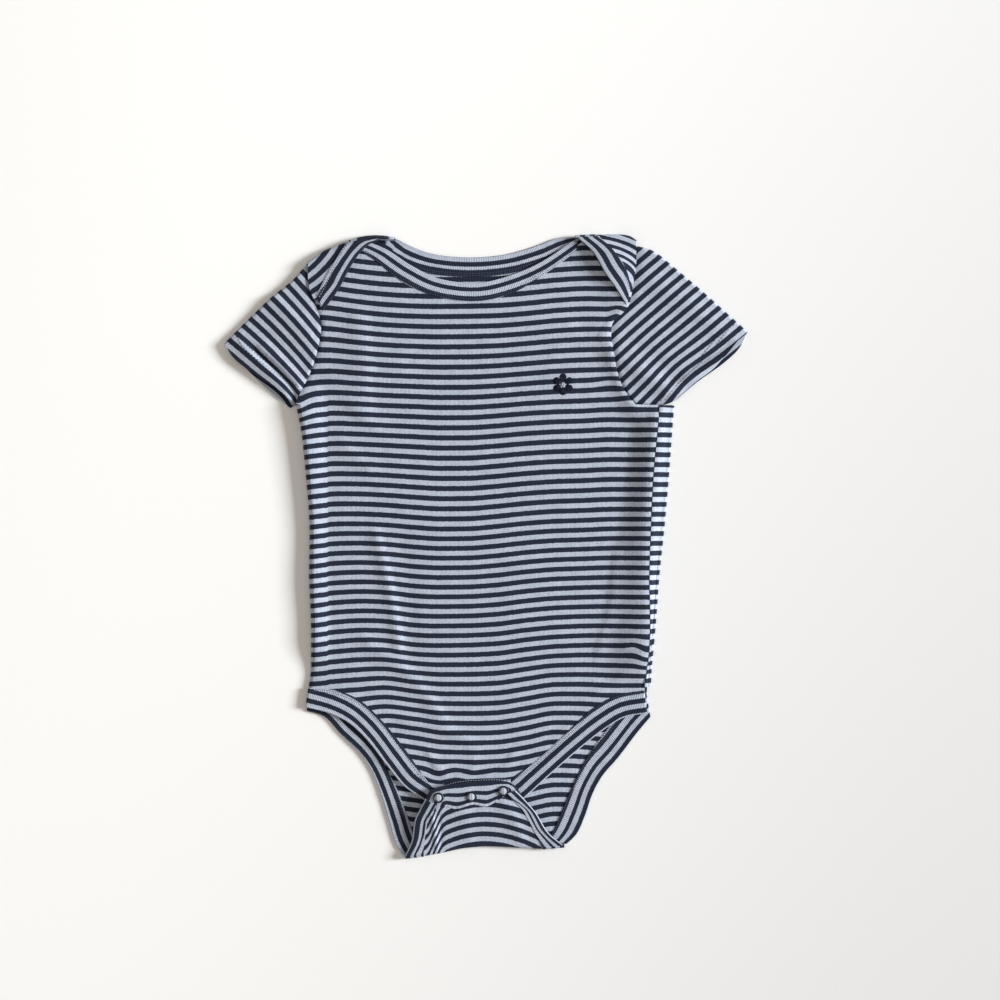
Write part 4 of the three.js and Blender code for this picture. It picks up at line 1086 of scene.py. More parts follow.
def band(name, seam, free, stripes, material, half=BAND_HALF, turn_ends=0, bows=None, tucked=False):
    """A binding: a folded section carried along its cross lines, which seam and free give in space.
    Distances across it are above zero on the face that is up at its middle. Turn_ends is the width
    over which its stripes turn and follow its ends too, and bows says how far the middle of each
    cross line is moved. A tucked one runs on in full to its last end, which dips under another."""
    if bows is None:
        bows = np.zeros((len(seam), 3))
    last = len(seam) - 1
    near_end = np.array(BAND_END_STEPS)
    at = np.concatenate([near_end, np.arange(1, last), last - near_end[::-1]])
    seam, free, bows = (sample(line, np.arange(last + 1), at) for line in (seam, free, bows))
    across = unit(free - seam)
    forward = np.gradient(seam + free, axis=0)
    up = unit(np.cross(across, forward))
    if up[len(up) // 2][2] < 0:
        up = -up
    width = np.linalg.norm(free - seam, axis=1)
    run = run_of((seam + free) / 2)
    changes = sample(stripes["changes"], stripes["at"], run / run[-1])
    places, marks = [], []
    for i in range(len(seam)):
        to_end = min(run[i], run[-1] - run[i])
        hidden_end = tucked and run[i] > run[-1] / 2
        q, h, edge = band_section(width[i], half).T
        h = h + np.where(h > 0, band_relief(q, run[i], stripes["seed"]), 0)
        if hidden_end:
            h = h - TUCK_DIP * (1 - smoothstep(to_end, 0, TUCK_REACH))
        else:
            h = h * max(END_THINNEST, math.sqrt(1 - max(0.0, 1 - to_end / END_ROUNDING) ** 2))
        if turn_ends:
            pressed = PRESSED_ENDS["share"] * (1 - smoothstep(to_end, *PRESSED_ENDS["reach"]))
            h = h * mix(1 - pressed, 1, smoothstep(q, *PRESSED_ENDS["from_seam"]))
        bow = bows[i] * np.sin(np.pi * q / width[i])[:, None]
        places.append(seam[i] + across[i] * q[:, None] + up[i] * h[:, None] + bow)
        if turn_ends:
            scaled = edge * turn_ends / width[i]
            turned_edge = soft_min(scaled, to_end + STRIPE_TURN["inset"], STRIPE_TURN["blend"])
            edge = np.where(edge > 0, turned_edge, edge)
        phase = stripe_phase(edge, changes[i], stripes["navy_first"])
        marks.append(np.column_stack([np.full(len(q), run[i]), phase]))
    places = np.array(places)
    marks = np.array(marks)
    rows, columns = places.shape[:2]
    index = np.arange(rows * columns).reshape(rows, columns)
    around = np.roll(index, -1, axis=1)
    faces = np.stack([index[:-1], around[:-1], around[1:], index[1:]], -1).reshape(-1, 4)
    wrapped = np.roll(marks, -1, axis=1)
    uvs = np.stack([marks[:-1], wrapped[:-1], wrapped[1:], marks[1:]], -2).reshape(-1, 4, 2)
    faces = faces.tolist() + [index[0][::-1].tolist(), index[-1].tolist()]
    uvs = np.vstack([uvs.reshape(-1, 2), marks[0][::-1], marks[-1]])
    return closed_object(name, places.reshape(-1, 3), faces, uvs, material)


def flat_band(lines, height):
    return level(lines["band"], height), level(lines["free"], height)


def chain(*runs):
    """Joins pairs of lines end to end."""
    return tuple(np.vstack([run[k] for run in runs]) for k in (0, 1))


def turned(lines, end, inward, low, high):
    """A binding's end line carried round a fold."""
    pair = np.array([lines["band"][end], lines["free"][end]])
    rows = fold_rows(pair, inward, low, high)
    return rows[:, 0], rows[:, 1]


def stripe_table(navy_first, seed, *rows):
    """Rows of a share of a binding's length, then the places across it where its colour changes."""
    changes = [row[1:] for row in rows]
    return {"navy_first": navy_first, "seed": seed, "at": [row[0] for row in rows], "changes": changes}


# Where each binding changes colour, in millimetres from its free edge, at shares of its length.
# The inside of a binding that turns over has distances above zero, and its outside below
NECK_BACK_STRIPES = stripe_table(
    True, 1.0,
    (0, -12.6, -9.8, -5.2, -2.8, 0.3, 3.1, 6.5, 8.2, 13.4, 14.4),
    (0.145, -12.6, -9.8, -5.2, -2.8, 0.3, 3.1, 6.5, 8.2, 13.4, 14.4),
    (0.175, -17.0, -13.4, -5.4, -2.8, 0.3, 3.1, 6.5, 8.2, 13.4, 14.4),
    (0.212, -29.6, -26.0, -1.0, -0.5, 0.1, 0.9, 4.6, 6.0, 29.0, 30.0),
    (0.236, -29.6, -26.0, -1.0, -0.5, 0.1, 0.9, 4.6, 6.0, 29.0, 30.0),
    (0.268, -14.0, -11.0, -3.2, -1.2, 0.3, 2.5, 6.2, 8.0, 20.5, 21.5),
    (0.32, -9.7, -6.8, -2.9, -0.3, 0.3, 3.1, 6.5, 8.2, 13.4, 14.4),
    (1, -9.7, -6.8, -2.9, -0.3, 0.3, 3.1, 6.5, 8.2, 13.4, 14.4),
)
NECK_FRONT_STRIPES = stripe_table(False, 2.0, (0, 3.0, 5.8, 8.8, 12.1))
LEG_FRONT_LEFT_STRIPES = stripe_table(
    False, 3.0,
    (0, 3.2, 6.4, 9.6, 12.6),
    (0.45, 2.2, 5.2, 8.4, 11.6),
    (1, 0.8, 4.0, 7.2, 10.4),
)
LEG_FRONT_RIGHT_STRIPES = stripe_table(False, 4.0, (0, 0.8, 4.0, 7.0, 10.4, 13.4))
LEG_BACK_LEFT_STRIPES = stripe_table(
    False, 5.0,
    (0, -13.0, -9.8, -6.6, -3.4, -0.4, 2.8, 5.8, 9.0, 12.0),
    (0.68, -13.0, -9.8, -6.6, -3.4, 2.6, 5.6, 8.4, 11.6, 13.0),
    (0.78, -7.6, -6.4, -4.6, -0.9, 2.6, 5.6, 8.4, 11.6, 13.0),
    (1, -7.6, -6.4, -4.6, -0.9, 2.6, 5.6, 8.4, 11.6, 13.0),
)
LEG_BACK_RIGHT_STRIPES = stripe_table(
    False, 6.0,
    (0, -9.6, -6.4, -3.2, 0.0, 0.4, 3.6, 6.8, 9.4, 13.4),
    (0.68, -9.6, -6.4, -3.2, 0.0, 0.4, 3.6, 6.8, 9.4, 13.4),
    (0.78, -7.0, -6.0, -3.6, -0.7, 0.4, 3.6, 6.8, 9.4, 13.4),
    (1, -7.0, -6.0, -3.6, -0.7, 0.4, 3.6, 6.8, 9.4, 13.4),
)
PLACKET_STRIPES = stripe_table(True, 8.0, (0, 3.1, 6.4, 9.0, 12.0, 14.6))
PLACKET_UNDER_STRIPES = stripe_table(True, 7.0, (0, 3.3, 6.6, 9.9, 13.2))
PLACKET_WIDTH = 16.4


def lap_band(lines, side):
    pair = flat_band(lines, 0)
    for line in pair:
        line[:, 2] = lap_level(side, STEPS["lap"])
    return pair


def neck_binding_back(material):
    peak_left = turned(neck_back, 0, shoulder_left_in, BACK_BAND_LEVEL, LAP_LEVEL)
    peak_right = turned(neck_back, -1, shoulder_right_in, BACK_BAND_LEVEL, LAP_LEVEL)
    left, right = lap_band(lap_left, "left"), lap_band(lap_right, "right")
    bows = np.zeros((2 * STEPS["lap"] + STEPS["neck"] + 1 + 2 * FOLD_STEPS, 3))
    place = np.arange(len(bows))
    to_fold = np.maximum(0, np.maximum(STEPS["lap"] - place, place - STEPS["lap"] - FOLD_STEPS))
    amount = PEAK_BOW["most"] * (1 - smoothstep(to_fold, 0, PEAK_BOW["fade"]))
    bows[:, :2] = -amount[:, None] * shoulder_left_in
    seam, free = chain(
        (left[0][:0:-1], left[1][:0:-1]),
        (peak_left[0][::-1], peak_left[1][::-1]),
        flat_band(part_of(neck_back, 1, -1), BACK_BAND_LEVEL),
        peak_right,
        (right[0][1:], right[1][1:]),
    )
    return band("neck_binding_back_cloth", seam, free, NECK_BACK_STRIPES, material, bows=bows)


def leg_binding_back(side, leg, flap, stripes, material):
    seam, free = chain(
        flat_band(part_of(leg, 0, -1), BACK_BAND_LEVEL),
        turned(leg, -1, bottom_in, BACK_BAND_LEVEL, FLAP_FOLD_LEVEL),
        flat_band(run_on(part_of(flap, 1, None), UNDER_PLACKET[side]), flap_height),
    )
    return band(f"leg_binding_back_{side}_cloth", seam, free, stripes, material, tucked=True)


# Materials
class Value:
    """A value in a shader's node tree, to reckon with like a number."""

    def __init__(self, tree, socket):
        self.tree = tree
        self.socket = socket

    def apply(self, operation, *others):
        node = self.tree.nodes.new("ShaderNodeMath")
        node.operation = operation
        for value, socket in zip((self, *others), node.inputs):
            link(value, socket)
        return Value(self.tree, node.outputs[0])

    def __add__(self, other):
        return self.apply("ADD", other)

    def __sub__(self, other):
        return self.apply("SUBTRACT", other)

    def __mul__(self, other):
        return self.apply("MULTIPLY", other)

    def __truediv__(self, other):
        return self.apply("DIVIDE", other)

    def noise(self, scale, detail=2.0):
        node = self.tree.nodes.new("ShaderNodeTexNoise")
        set_inputs(node, {"Vector": self, "Scale": scale, "Detail": detail})
        return Value(self.tree, node.outputs["Fac"])

    def ramp(self, low, high, to_low=0.0, to_high=1.0):
        node = self.tree.nodes.new("ShaderNodeMapRange")
        node.interpolation_type = "SMOOTHSTEP"
        ends = {"From Min": low, "From Max": high, "To Min": to_low, "To Max": to_high}
        set_inputs(node, {"Value": self, **ends})
        return Value(self.tree, node.outputs["Result"])


def link(value, socket):
    if isinstance(value, Value):
        value.tree.links.new(value.socket, socket)
    else:
        socket.default_value = value


def set_inputs(node, values):
    for key, value in values.items():
        link(value, node.inputs[key])


def vector_of(x, y, z=0.0):
    node = x.tree.nodes.new("ShaderNodeCombineXYZ")
    for value, socket in zip((x, y, z), node.inputs):
        link(value, socket)
    return Value(x.tree, node.outputs[0])


def mixed(tree, share, a, b, blend="MIX"):
    node = tree.nodes.new("ShaderNodeMix")
    node.data_type = "RGBA"
    node.blend_type = blend
    set_inputs(node, {"Factor": share, "A": a, "B": b})
    return Value(tree, node.outputs["Result"])


def relief(shader, height, strength, distance):
    """Bump on a shader, over a distance in millimetres."""
    bump = height.tree.nodes.new("ShaderNodeBump")
    set_inputs(bump, {"Strength": strength, "Distance": distance * MM, "Height": height})
    link(Value(height.tree, bump.outputs["Normal"]), shader.inputs["Normal"])


def linear(red, green, blue):
    """A colour given as on a screen, from 0 to 255, in the shader's own linear values."""
    shades = [value / 255 for value in (red, green, blue)]
    return tuple(s / 12.92 if s <= 0.04045 else ((s + 0.055) / 1.055) ** 2.4 for s in shades) + (1.0,)


def new_material(name):
    material = bpy.data.materials.new(name)
    material.use_nodes = True
    return material, material.node_tree, material.node_tree.nodes["Principled BSDF"]


def object_place(tree):
    return Value(tree, tree.nodes.new("ShaderNodeTexCoord").outputs["Object"])


def split_up(tree, vector):
    node = tree.nodes.new("ShaderNodeSeparateXYZ")
    link(vector, node.inputs[0])
    return Value(tree, node.outputs["X"]), Value(tree, node.outputs["Y"])


NAVY = linear(26, 34, 50)
NAVY_FLECK = linear(40, 50, 70)
LIGHT = linear(196, 203, 215)
LIGHT_FLECK = linear(160, 169, 186)

# The knit: heights where a column of loops is 1 high, the stripes' wobble in millimetres of cloth,
# and scales of noise in repeats for each millimetre. The shade in the grooves between loops is painted:
# its value is how far the colour is darkened there
KNIT = {
    "blur": 0.07, "loop": 0.22, "rib": 0.8, "fuzz": 0.7, "groove_shade": 0.74,
    "wobble": 0.55, "wobble_scale": 0.45, "wobble_stretch": 0.35,
    "fleck_scale": 2.4, "fleck_stretch": 0.45, "patch_scale": 0.16, "patches": 0.2,
    "light_fleck": (0.38, 0.62), "navy_fleck": (0.5, 0.78),
}
STRAND_SCALE = 2600.0
WEAR_SCALE = 900.0


def jersey(name, wale=0.85, course=0.62, rib=0.0, navy_share=0.5):
    """Yarn-dyed stripes knitted in jersey, or in a rib where rib is above zero."""
    material, tree, shader = new_material(name)
    node = tree.nodes.new("ShaderNodeUVMap")
    node.uv_map = "cloth"
    cloth = Value(tree, node.outputs["UV"])
    s, t = split_up(tree, cloth)

    wobble = vector_of(s, t * KNIT["wobble_stretch"]).noise(KNIT["wobble_scale"]) - 0.5
    phase = ((t + wobble * KNIT["wobble"]) / REPEAT + 0.5).apply("FRACT")
    from_navy = (phase - 0.5).apply("ABSOLUTE") * 2.0
    is_light = from_navy.ramp(navy_share - KNIT["blur"], navy_share + KNIT["blur"])

    vee = ((s / wale).apply("FRACT") - 0.5).apply("ABSOLUTE")
    loops = ((t / course + vee) * (2 * math.pi)).apply("SINE") * KNIT["loop"]
    height = (vee * 2.0).apply("POWER", 3.0) * -1.0 + 1.0 + loops
    if rib:
        height = height + (s * (2 * math.pi / rib)).apply("SINE") * KNIT["rib"]

    fibres = vector_of(s * KNIT["fleck_stretch"], t).noise(KNIT["fleck_scale"], 3.0)
    heather = fibres * (1 - KNIT["patches"]) + cloth.noise(KNIT["patch_scale"]) * KNIT["patches"]
    light = mixed(tree, heather.ramp(*KNIT["light_fleck"]), LIGHT_FLECK, LIGHT)
    navy = mixed(tree, fibres.ramp(*KNIT["navy_fleck"]), NAVY, NAVY_FLECK)
    stripe = mixed(tree, is_light, navy, light)
    # Painted shade: the colour is darkened in the grooves between loops, where the knit's height is low
    groove_shade = height.ramp(0.0, 1.0, KNIT["groove_shade"], 1.0)
    colour = mixed(tree, 1.0, stripe, vector_of(groove_shade, groove_shade, groove_shade), "MULTIPLY")
    relief(shader, height + fibres * KNIT["fuzz"], strength=0.5, distance=0.22)
    looks = {"Roughness": 0.93, "Specular IOR Level": 0.18, "Sheen Weight": 0.05, "Sheen Roughness": 0.6}
    set_inputs(shader, {"Base Color": colour, **looks})
    return material


def shaded(colour, scale, offset=0.0):
    """A lighter or darker shade of a colour."""
    return tuple(min(1.0, scale * value + offset) for value in colour[:3]) + (1.0,)


def thread(name, colour, roughness=0.5):
    """Sewing or embroidery thread, with its ply in the bump and painted shade where the ply is low."""
    material, tree, shader = new_material(name)
    strands = object_place(tree).noise(STRAND_SCALE)
    # Painted shade: the thread's colour is darkened where the ply's bump is low
    ply_with_painted_shade = mixed(tree, strands.ramp(0.35, 0.65), shaded(colour, 0.62), colour)
    relief(shader, strands, strength=0.4, distance=0.08)
    looks = {"Roughness": roughness, "Sheen Weight": 0.03, "Specular IOR Level": 0.12}
    set_inputs(shader, {"Base Color": ply_with_painted_shade, **looks})
    return material


def enamel(name, colour, metal, roughness):
    """Painted or bare metal with slight wear."""
    material, tree, shader = new_material(name)
    wear = object_place(tree).noise(WEAR_SCALE, 3.0)
    worn = mixed(tree, wear.ramp(0.55, 0.8), colour, shaded(colour, 2.4, 0.02))
    rough = wear.ramp(0.3, 0.8, roughness - 0.08, roughness + 0.15)
    set_inputs(shader, {"Base Color": worn, "Roughness": rough, "Metallic": metal})
    return material


body_jersey = jersey("striped jersey, body", navy_share=0.52)
sleeve_jersey = jersey("striped jersey, sleeves", navy_share=0.52)
band_jersey = jersey("striped jersey, bindings", wale=1.15, rib=1.15)
placket_jersey = jersey("striped jersey, plackets", wale=1.0)
light_thread = thread("light sewing thread", linear(176, 184, 198))
mid_thread = thread("blue sewing thread", linear(84, 94, 116))
navy_thread = thread("navy sewing thread", linear(58, 67, 88))
satin_thread = thread("navy embroidery thread", linear(15, 21, 38), 0.6)
snap_enamel = enamel("navy snap enamel", linear(26, 31, 43), 0.2, 0.34)
snap_metal = enamel("snap metal", linear(150, 152, 156), 1.0, 0.3)


# Cloth pieces
def run_on(lines, last):
    """Cross lines of a binding with one more at the end."""
    places = np.reshape(last, (2, 1, 2))
    return {key: np.vstack([lines[key], place]) for key, place in zip(("band", "free"), places)}


def strip(name, lines, height, stripes, material, half=BAND_HALF, turn_ends=0):
    seam, free = flat_band(lines, height)
    return band(name, seam, free, stripes, material, half=half, turn_ends=turn_ends)


def leg_strip(side, lines, stripes):
    lines = run_on(lines, UNDER_FLAP[side])
    return strip(f"leg_binding_front_{side}_cloth", lines, FRONT_BAND_LEVEL, stripes, band_jersey)


def placket_strip(name, lines, height, stripes, turn_ends=0):
    return strip(name, lines, height, stripes, placket_jersey, PLACKET_HALF, turn_ends)


left_grid = sleeve_grid(SLEEVE_LEFT, ARMHOLE_LEFT, ARMHOLE_LEFT_BACK)
right_grid = sleeve_grid(SLEEVE_RIGHT, ARMHOLE_RIGHT, ARMHOLE_RIGHT_BACK)
placket_back = {
    key: np.vstack([placket_end_left[key], placket_middle[key][1:], placket_end_right[key][1:]])
    for key in ("band", "free")
}

# Each sheet: its slot, and the width and length in metres of its cut as it shows
ON_FLOOR = ("back_panel", "sleeve_left", "sleeve_right")
SHEETS = rows_of(
    "node slot width length",
    ("back_panel", "body_jersey", 0.262, 0.425),
    ("front_panel", "body_jersey", 0.245, 0.362),
    ("sleeve_left", "sleeve_jersey", 0.185, 0.075),
    ("sleeve_right", "sleeve_jersey", 0.215, 0.095),
    ("neck_binding_back", "binding", 0.031, 0.262),
    ("neck_binding_front", "binding", 0.030, 0.172),
    ("leg_binding_front_left", "binding", 0.034, 0.116),
    ("leg_binding_front_right", "binding", 0.034, 0.118),
    ("leg_binding_back_left", "binding", 0.030, 0.180),
    ("leg_binding_back_right", "binding", 0.030, 0.180),
    ("crotch_placket_front", "placket", 0.036, 0.056),
    ("crotch_placket_back", "placket", 0.036, 0.072),
)
SHEET_PIECES = (
    back_panel(body_jersey),
    front_panel(body_jersey),
    sleeve("sleeve_left_cloth", left_grid, -1, sleeve_jersey),
    sleeve("sleeve_right_cloth", right_grid, 1, sleeve_jersey),
    neck_binding_back(band_jersey),
    strip("neck_binding_front_cloth", neck_front, FRONT_BAND_LEVEL, NECK_FRONT_STRIPES, band_jersey),
    leg_strip("left", leg_front_left, LEG_FRONT_LEFT_STRIPES),
    leg_strip("right", leg_front_right, LEG_FRONT_RIGHT_STRIPES),
    leg_binding_back("left", leg_back_left, flap_left, LEG_BACK_LEFT_STRIPES, band_jersey),
    leg_binding_back("right", leg_back_right, flap_right, LEG_BACK_RIGHT_STRIPES, band_jersey),
    placket_strip("crotch_placket_front_cloth", placket_front, FRONT_BAND_LEVEL, PLACKET_UNDER_STRIPES),
    placket_strip("crotch_placket_back_cloth", placket_back, flap_height, PLACKET_STRIPES, PLACKET_WIDTH),
)


# Stitches: small spindles of thread laid along a line
UP = np.array([0.0, 0.0, 1.0])
SPINDLE = rows_of(
    "share size lift",
    (0.0, 0.35, -0.2),
    (0.2, 0.9, 0.15),
    (0.5, 1.0, 0.3),
    (0.8, 0.9, 0.15),
    (1.0, 0.35, -0.2),
)


def spindles(name, starts, ends, thickness, material, sides=5):
    """One spindle for each pair of start and end places, lifted in its middle."""
    vertices, faces = [], []
    turn = np.arange(sides) * 2 * np.pi / sides
    for start, end in zip(starts, ends):
        out = unit(np.cross(unit(end - start), UP))
        base = len(vertices)
        for row in SPINDLE:
            centre = mix(start, end, row["share"]) + UP * thickness * row["lift"]
            radius = thickness / 2 * row["size"]
            vertices += [centre + (out * math.cos(a) + UP * math.sin(a)) * radius for a in turn]
        for k in range(len(SPINDLE) - 1):
            for j in range(sides):
                a, b = base + k * sides + j, base + k * sides + (j + 1) % sides
                faces.append([a, b, b + sides, a + sides])
        last = base + (len(SPINDLE) - 1) * sides
        faces.append([base + j for j in reversed(range(sides))])
        faces.append([last + j for j in range(sides)])
    return closed_object(name, vertices, faces, None, material)


def dashes(line, pitch, share, slant):
    """Start and end places of stitches along a line in space."""
    run = run_of(line)
    starts = np.arange(pitch / 2, run[-1] - pitch, pitch)
    start, end = sample(line, run, starts), sample(line, run, starts + pitch * share)
    side = unit(np.cross(end - start, UP)) * slant
    return start - side, end + side


def stitch_rows(row):
    """All the stitches that a row of the sewing table stands for."""
    pairs = [dashes(line, row["pitch"], row["share"], row["slant"]) for line in row["lines"]]
    starts, ends = (np.vstack(places) for places in zip(*pairs))
    return spindles(row["name"], starts, ends, row["thickness"], row["thread"])


HEM_INSETS = (9.6, 12.4)
HEM_LONGEST = 0.92
STITCH_LIFT = 0.02
STITCH_SINK = 0.05


def sleeve_hem_lines(grid, outward):
    """Lines on the top layer of a sleeve at distances in from its hem."""
    columns = np.arange(FOLD_STEPS - 2, FOLD_STEPS + STEPS["sleeve"] + 2)
    if outward < 0:
        columns = grid.shape[1] - 1 - columns
    rays = [grid[::-1, column] for column in columns]
    runs = [run_of(ray) for ray in rays]
    lines = []
    for inset in HEM_INSETS:
        line = [sample(ray, run, min(inset, run[-1] * HEM_LONGEST)) for ray, run in zip(rays, runs)]
        lines.append(np.array(line) + UP * (CLOTH / 2 + STITCH_LIFT))
    return lines


def inset_lines(lines, insets, height=0):
    across = unit(lines["free"] - lines["band"])
    return [level(lines["band"] + across * inset, height) for inset in insets]


def lap_stitch_lines(lines, side, insets, lift):
    return [row + UP * (lap_level(side, STEPS["lap"])[:, None] + lift) for row in inset_lines(lines, insets)]


def band_stitch_lines(lines, height, insets, lift=BAND_HALF - STITCH_SINK):
    return [row + UP * lift for row in inset_lines(lines, insets, height)]


leg_stitch_lines = [
    line
    for lines, height in (
        (leg_front_left, FRONT_BAND_LEVEL),
        (leg_front_right, FRONT_BAND_LEVEL),
        (leg_back_left, BACK_BAND_LEVEL),
        (leg_back_right, BACK_BAND_LEVEL),
    )
    for line in band_stitch_lines(lines, height, (0.7, 2.1))
]

# Share is how much of its pitch a stitch covers, and slant how far its ends lie beside its line
SEWING = rows_of(
    "name pitch share thickness slant thread slot lines",
    (
        "hem_stitches_left", 2.3, 0.74, 0.42, 0.0, navy_thread, "sleeve_jersey",
        sleeve_hem_lines(left_grid, -1),
    ),
    (
        "hem_stitches_right", 2.3, 0.74, 0.42, 0.0, navy_thread, "sleeve_jersey",
        sleeve_hem_lines(right_grid, 1),
    ),
    (
        "neck_stitches_left", 1.8, 0.66, 0.5, 0.2, light_thread, "binding",
        lap_stitch_lines(lap_left, "left", (0.9, 2.4), BAND_HALF),
    ),
    (
        "neck_stitches_right", 1.9, 0.7, 0.36, 0.16, mid_thread, "binding",
        lap_stitch_lines(lap_right, "right", (0.9, 2.3), BAND_HALF - STITCH_SINK),
    ),
    (
        "neck_stitches_front", 1.9, 0.7, 0.34, 0.14, mid_thread, "binding",
        band_stitch_lines(neck_front, FRONT_BAND_LEVEL, (0.7, 2.2)),
    ),
    (
        "neck_stitches_back", 1.9, 0.7, 0.34, 0.14, mid_thread, "binding",
        band_stitch_lines(neck_back, BACK_BAND_LEVEL, (0.8, 2.2)),
    ),
    ("leg_stitches", 1.9, 0.7, 0.34, 0.14, mid_thread, "binding", leg_stitch_lines),
    (
        "placket_stitches", 1.7, 0.66, 0.5, 0.0, light_thread, "placket",
        band_stitch_lines(placket_front, FRONT_BAND_LEVEL, (1.0,), PLACKET_HALF + STITCH_LIFT),
    ),
)
sewn = [(stitch_rows(row), row["slot"]) for row in SEWING]


# Snaps: an open ring with the placket's cloth domed up through it, and the closed stud below
PROFILE_SIDES = 40
RING_SIDES = 12
DOME = {
    "reach": 2.45, "rise": 0.95, "skirt": ((0.02, -0.5), (2.3, -0.5)),
    "angles": (0.1, math.pi / 2 - 0.01), "steps": 9,
}
STUD_LEVEL = 4.3
STUD_PROFILE = (
    (0.02, 0.0), (4.2, 0.0), (4.4, 0.2), (4.4, 0.7), (4.1, 1.0), (3.2, 1.2), (3.0, 1.65), (0.02, 1.7),
)


def turned_profile(name, profile, x, y, z, material, cloth=False):
    """A closed profile of radii and heights, turned about an upright axis. Its cloth has no stripes."""
    rows = len(profile)
    index = np.arange(PROFILE_SIDES * rows).reshape(PROFILE_SIDES, rows)
    above = np.roll(index, -1, axis=1)
    beside, beside_above = np.roll(index, -1, axis=0), np.roll(above, -1, axis=0)
    faces = np.stack([index, beside, beside_above, above], -1).reshape(-1, 4)
    turn = np.arange(PROFILE_SIDES)[:, None] * 2 * np.pi / PROFILE_SIDES
    radius, height = np.array(profile).T
    vertices = np.stack([x + radius * np.cos(turn), y + radius * np.sin(turn), z + height + 0 * turn], -1)
    vertices = vertices.reshape(-1, 3)
    marks = np.stack([vertices[faces.ravel(), 0], np.full(faces.size, REPEAT / 2)], -1)
    return closed_object(name, vertices, faces.tolist(), marks if cloth else None, material)


ring_profile = [
    (RING_MIDDLE + RING_SECTION[0] * math.cos(a), RING_SECTION[1] * (1 + math.sin(a)))
    for a in np.arange(RING_SIDES) * 2 * np.pi / RING_SIDES
]
dome_profile = [*DOME["skirt"]]
dome_profile += [
    (DOME["reach"] * math.cos(a), DOME["rise"] * math.sin(a))
    for a in np.linspace(*DOME["angles"], DOME["steps"])
]
rings, domes = [], []
for k, (x, y) in enumerate(SNAP_CENTRES, 1):
    rings.append(turned_profile(f"snap_ring_{k}_face", ring_profile, x, y, RING_LEVEL, snap_enamel))
    domes.append(turned_profile(f"snap_cloth_{k}", dome_profile, x, y, RING_LEVEL, placket_jersey, True))
studs = [
    turned_profile(f"snap_stud_{k}_closed", STUD_PROFILE, x, y, STUD_LEVEL, snap_metal)
    for k, (x, y) in enumerate(SNAP_CENTRES, 1)
]


# A small six-petalled flower in satin stitch on the chest
FLOWER = {
    "x": 50.5, "y": 107.0, "petals": 6, "start": 1.7, "start_rise": 0.7, "reach": 7.3, "rounding": 0.45,
    "spread": 26, "threads": 15, "thickness": 0.6, "lift": 0.1, "centre_threads": 9, "centre": (0.1, 1.5),
}


def stitched_down(name, threads, material):
    """Threads on the front panel round the flower's middle: an angle in degrees, and two distances."""
    angle, near, far = np.array(threads).T
    angle = np.radians(angle)
    places = []
    for distance in (near, far):
        x, y = FLOWER["x"] + distance * np.cos(angle), FLOWER["y"] + distance * np.sin(angle)
        places.append(np.stack([x, y, front_height(x, y) + CLOTH / 2 + FLOWER["lift"]], -1))
    return spindles(name, *places, FLOWER["thickness"], material, 6)


def flower(name, material):
    """Petals filled with threads that run out from the middle."""
    threads = []
    for petal in range(FLOWER["petals"]):
        for share in np.linspace(-1, 1, FLOWER["threads"]):
            angle = 90 + 360 * petal / FLOWER["petals"] + share * FLOWER["spread"]
            rounding = 1 - FLOWER["rounding"] + FLOWER["rounding"] * math.sqrt(1 - share * share)
            near = FLOWER["start"] + FLOWER["start_rise"] * abs(share)
            threads.append((angle, near, FLOWER["reach"] * rounding))
    return stitched_down(name, threads, material)


def flower_centre(name, material):
    turns = np.linspace(0, 360, FLOWER["centre_threads"] + 1)[:-1]
    return stitched_down(name, [(turn, *FLOWER["centre"]) for turn in turns], material)


chest_flower = flower("chest_flower", satin_thread)
chest_centre = flower_centre("chest_flower_centre", light_thread)

# What each piece stands for and rides on
REPLACED = (
    *((piece, row["node"], row["slot"]) for piece, row in zip(SHEET_PIECES, SHEETS)),
    *((ring, f"snap_ring_{k}", "snap_enamel") for k, ring in enumerate(rings, 1)),
    *((stud, f"snap_stud_{k}", "snap_metal") for k, stud in enumerate(studs, 1)),
)
ADDED = (
    *sewn,
    (chest_flower, "body_jersey"),
    (chest_centre, "body_jersey"),
    *((dome, "placket") for dome in domes),
)
for piece, node, slot in REPLACED:
    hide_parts(node)
    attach(piece, "root")
for piece, slot in ADDED:
    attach(piece, "root")


# Stage, light and camera
FLOOR_HALF = 8.0
# Painted light and shade on the floor: its colour at the lighter left and top, and at the darker right and
# bottom
FLOOR_LIT = (0.95, 0.945, 0.915, 1.0)
FLOOR_PAINTED_SHADE = (0.63, 0.62, 0.61, 1.0)


def link_to_scene(name, data):
    item = bpy.data.objects.new(name, data)
    bpy.context.scene.collection.objects.link(item)
    return item


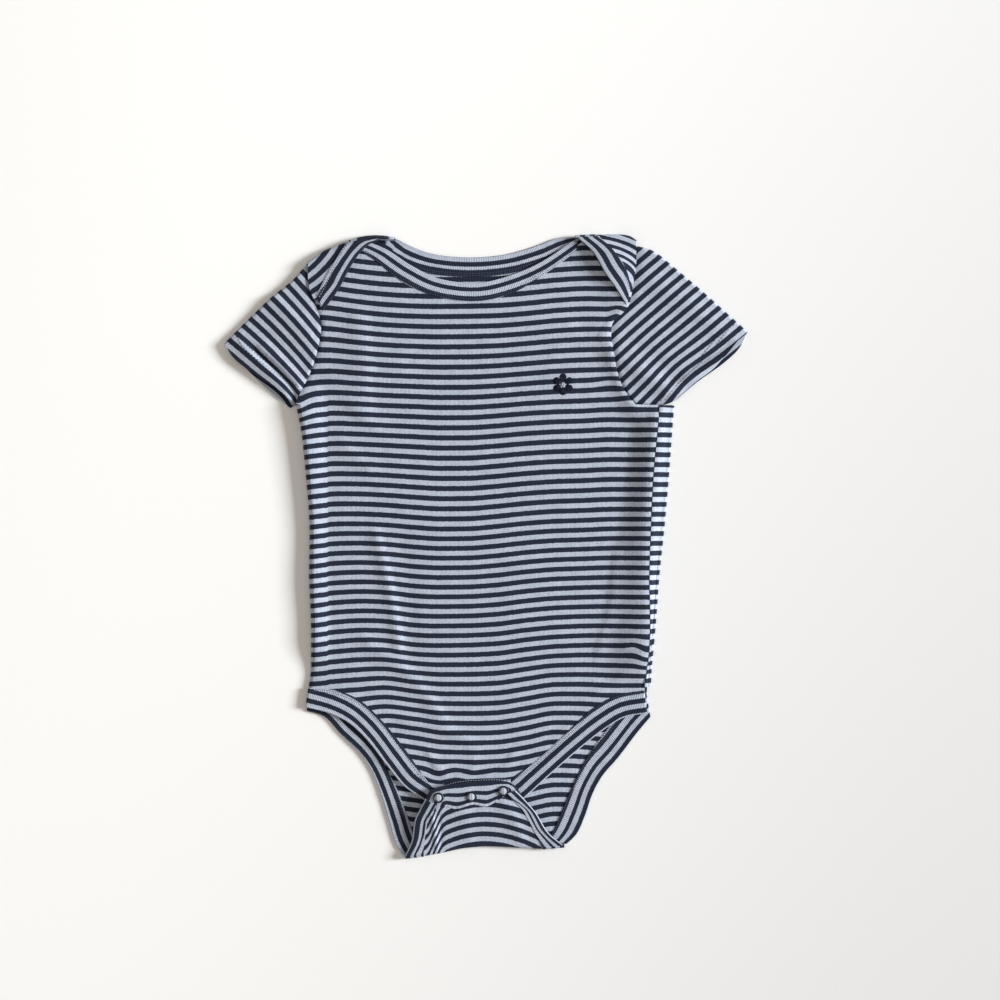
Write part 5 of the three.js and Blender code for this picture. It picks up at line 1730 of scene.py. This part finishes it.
def floor_material():
    """A pale floor with painted light and shade: lighter to the left and top, darker to the right and
    bottom.
    """
    material, tree, shader = new_material("pale floor")
    x, y = split_up(tree, object_place(tree))
    # Painted shade grows towards the right and the bottom
    away = (x - y * 0.35).ramp(-0.35, 0.6)
    set_inputs(shader, {"Base Color": mixed(tree, away, FLOOR_LIT, FLOOR_PAINTED_SHADE), "Roughness": 0.9})
    return material


def make_floor():
    mesh = bpy.data.meshes.new("floor")
    corners = [(x * FLOOR_HALF, y * FLOOR_HALF, 0) for x, y in ((-1, -1), (1, -1), (1, 1), (-1, 1))]
    mesh.from_pydata(corners, [], [(0, 1, 2, 3)])
    mesh.materials.append(floor_material())
    return link_to_scene("floor", mesh)


floor = make_floor()

for piece, row in zip(SHEET_PIECES, SHEETS):
    below = "floor" if row["node"] in ON_FLOOR else "back_panel_cloth"


LIGHTS = rows_of(
    "name place aim size power colour",
    ("window", (5.2, 0.65, 2.2), (0.0, 0.0, 0.0), 1.6, 590.0, (0.96, 1.0, 1.05)),
    ("bounce", (-1.6, 0.2, 2.2), (-0.2, 0.0, 0.0), 2.4, 5.0, (1.0, 0.99, 0.98)),
)
ROOM = {"Color": (1.0, 0.925, 0.85, 1.0), "Strength": 0.4}


def area_light(name, place, aim, size, power, colour):
    data = bpy.data.lights.new(name, "AREA")
    data.shape = "RECTANGLE"
    data.size = data.size_y = size
    data.energy = power
    data.color = colour
    lamp = link_to_scene(name, data)
    lamp.location = place
    lamp.rotation_euler = (Vector(aim) - Vector(place)).to_track_quat("-Z", "Y").to_euler()


for row in LIGHTS:
    area_light(**row)
world = bpy.data.worlds.new("soft room")
world.use_nodes = True
set_inputs(world.node_tree.nodes["Background"], ROOM)
bpy.context.scene.world = world
bpy.context.scene.view_settings.view_transform = "Standard"

# The camera looks straight down; one pixel of a 1000-pixel picture is 0.66 mm
VIEW = {"x": 9.1, "y": 30.7, "width": 660.0, "distance": 1300.0, "sensor": 36.0}
camera_data = bpy.data.cameras.new("camera")
camera_data.sensor_width = VIEW["sensor"]
camera_data.lens = VIEW["sensor"] * (VIEW["distance"] - FRONT_BAND_LEVEL) / VIEW["width"]
camera = link_to_scene("camera", camera_data)
camera.location = (VIEW["x"] * MM, VIEW["y"] * MM, VIEW["distance"] * MM)
bpy.context.scene.camera = camera
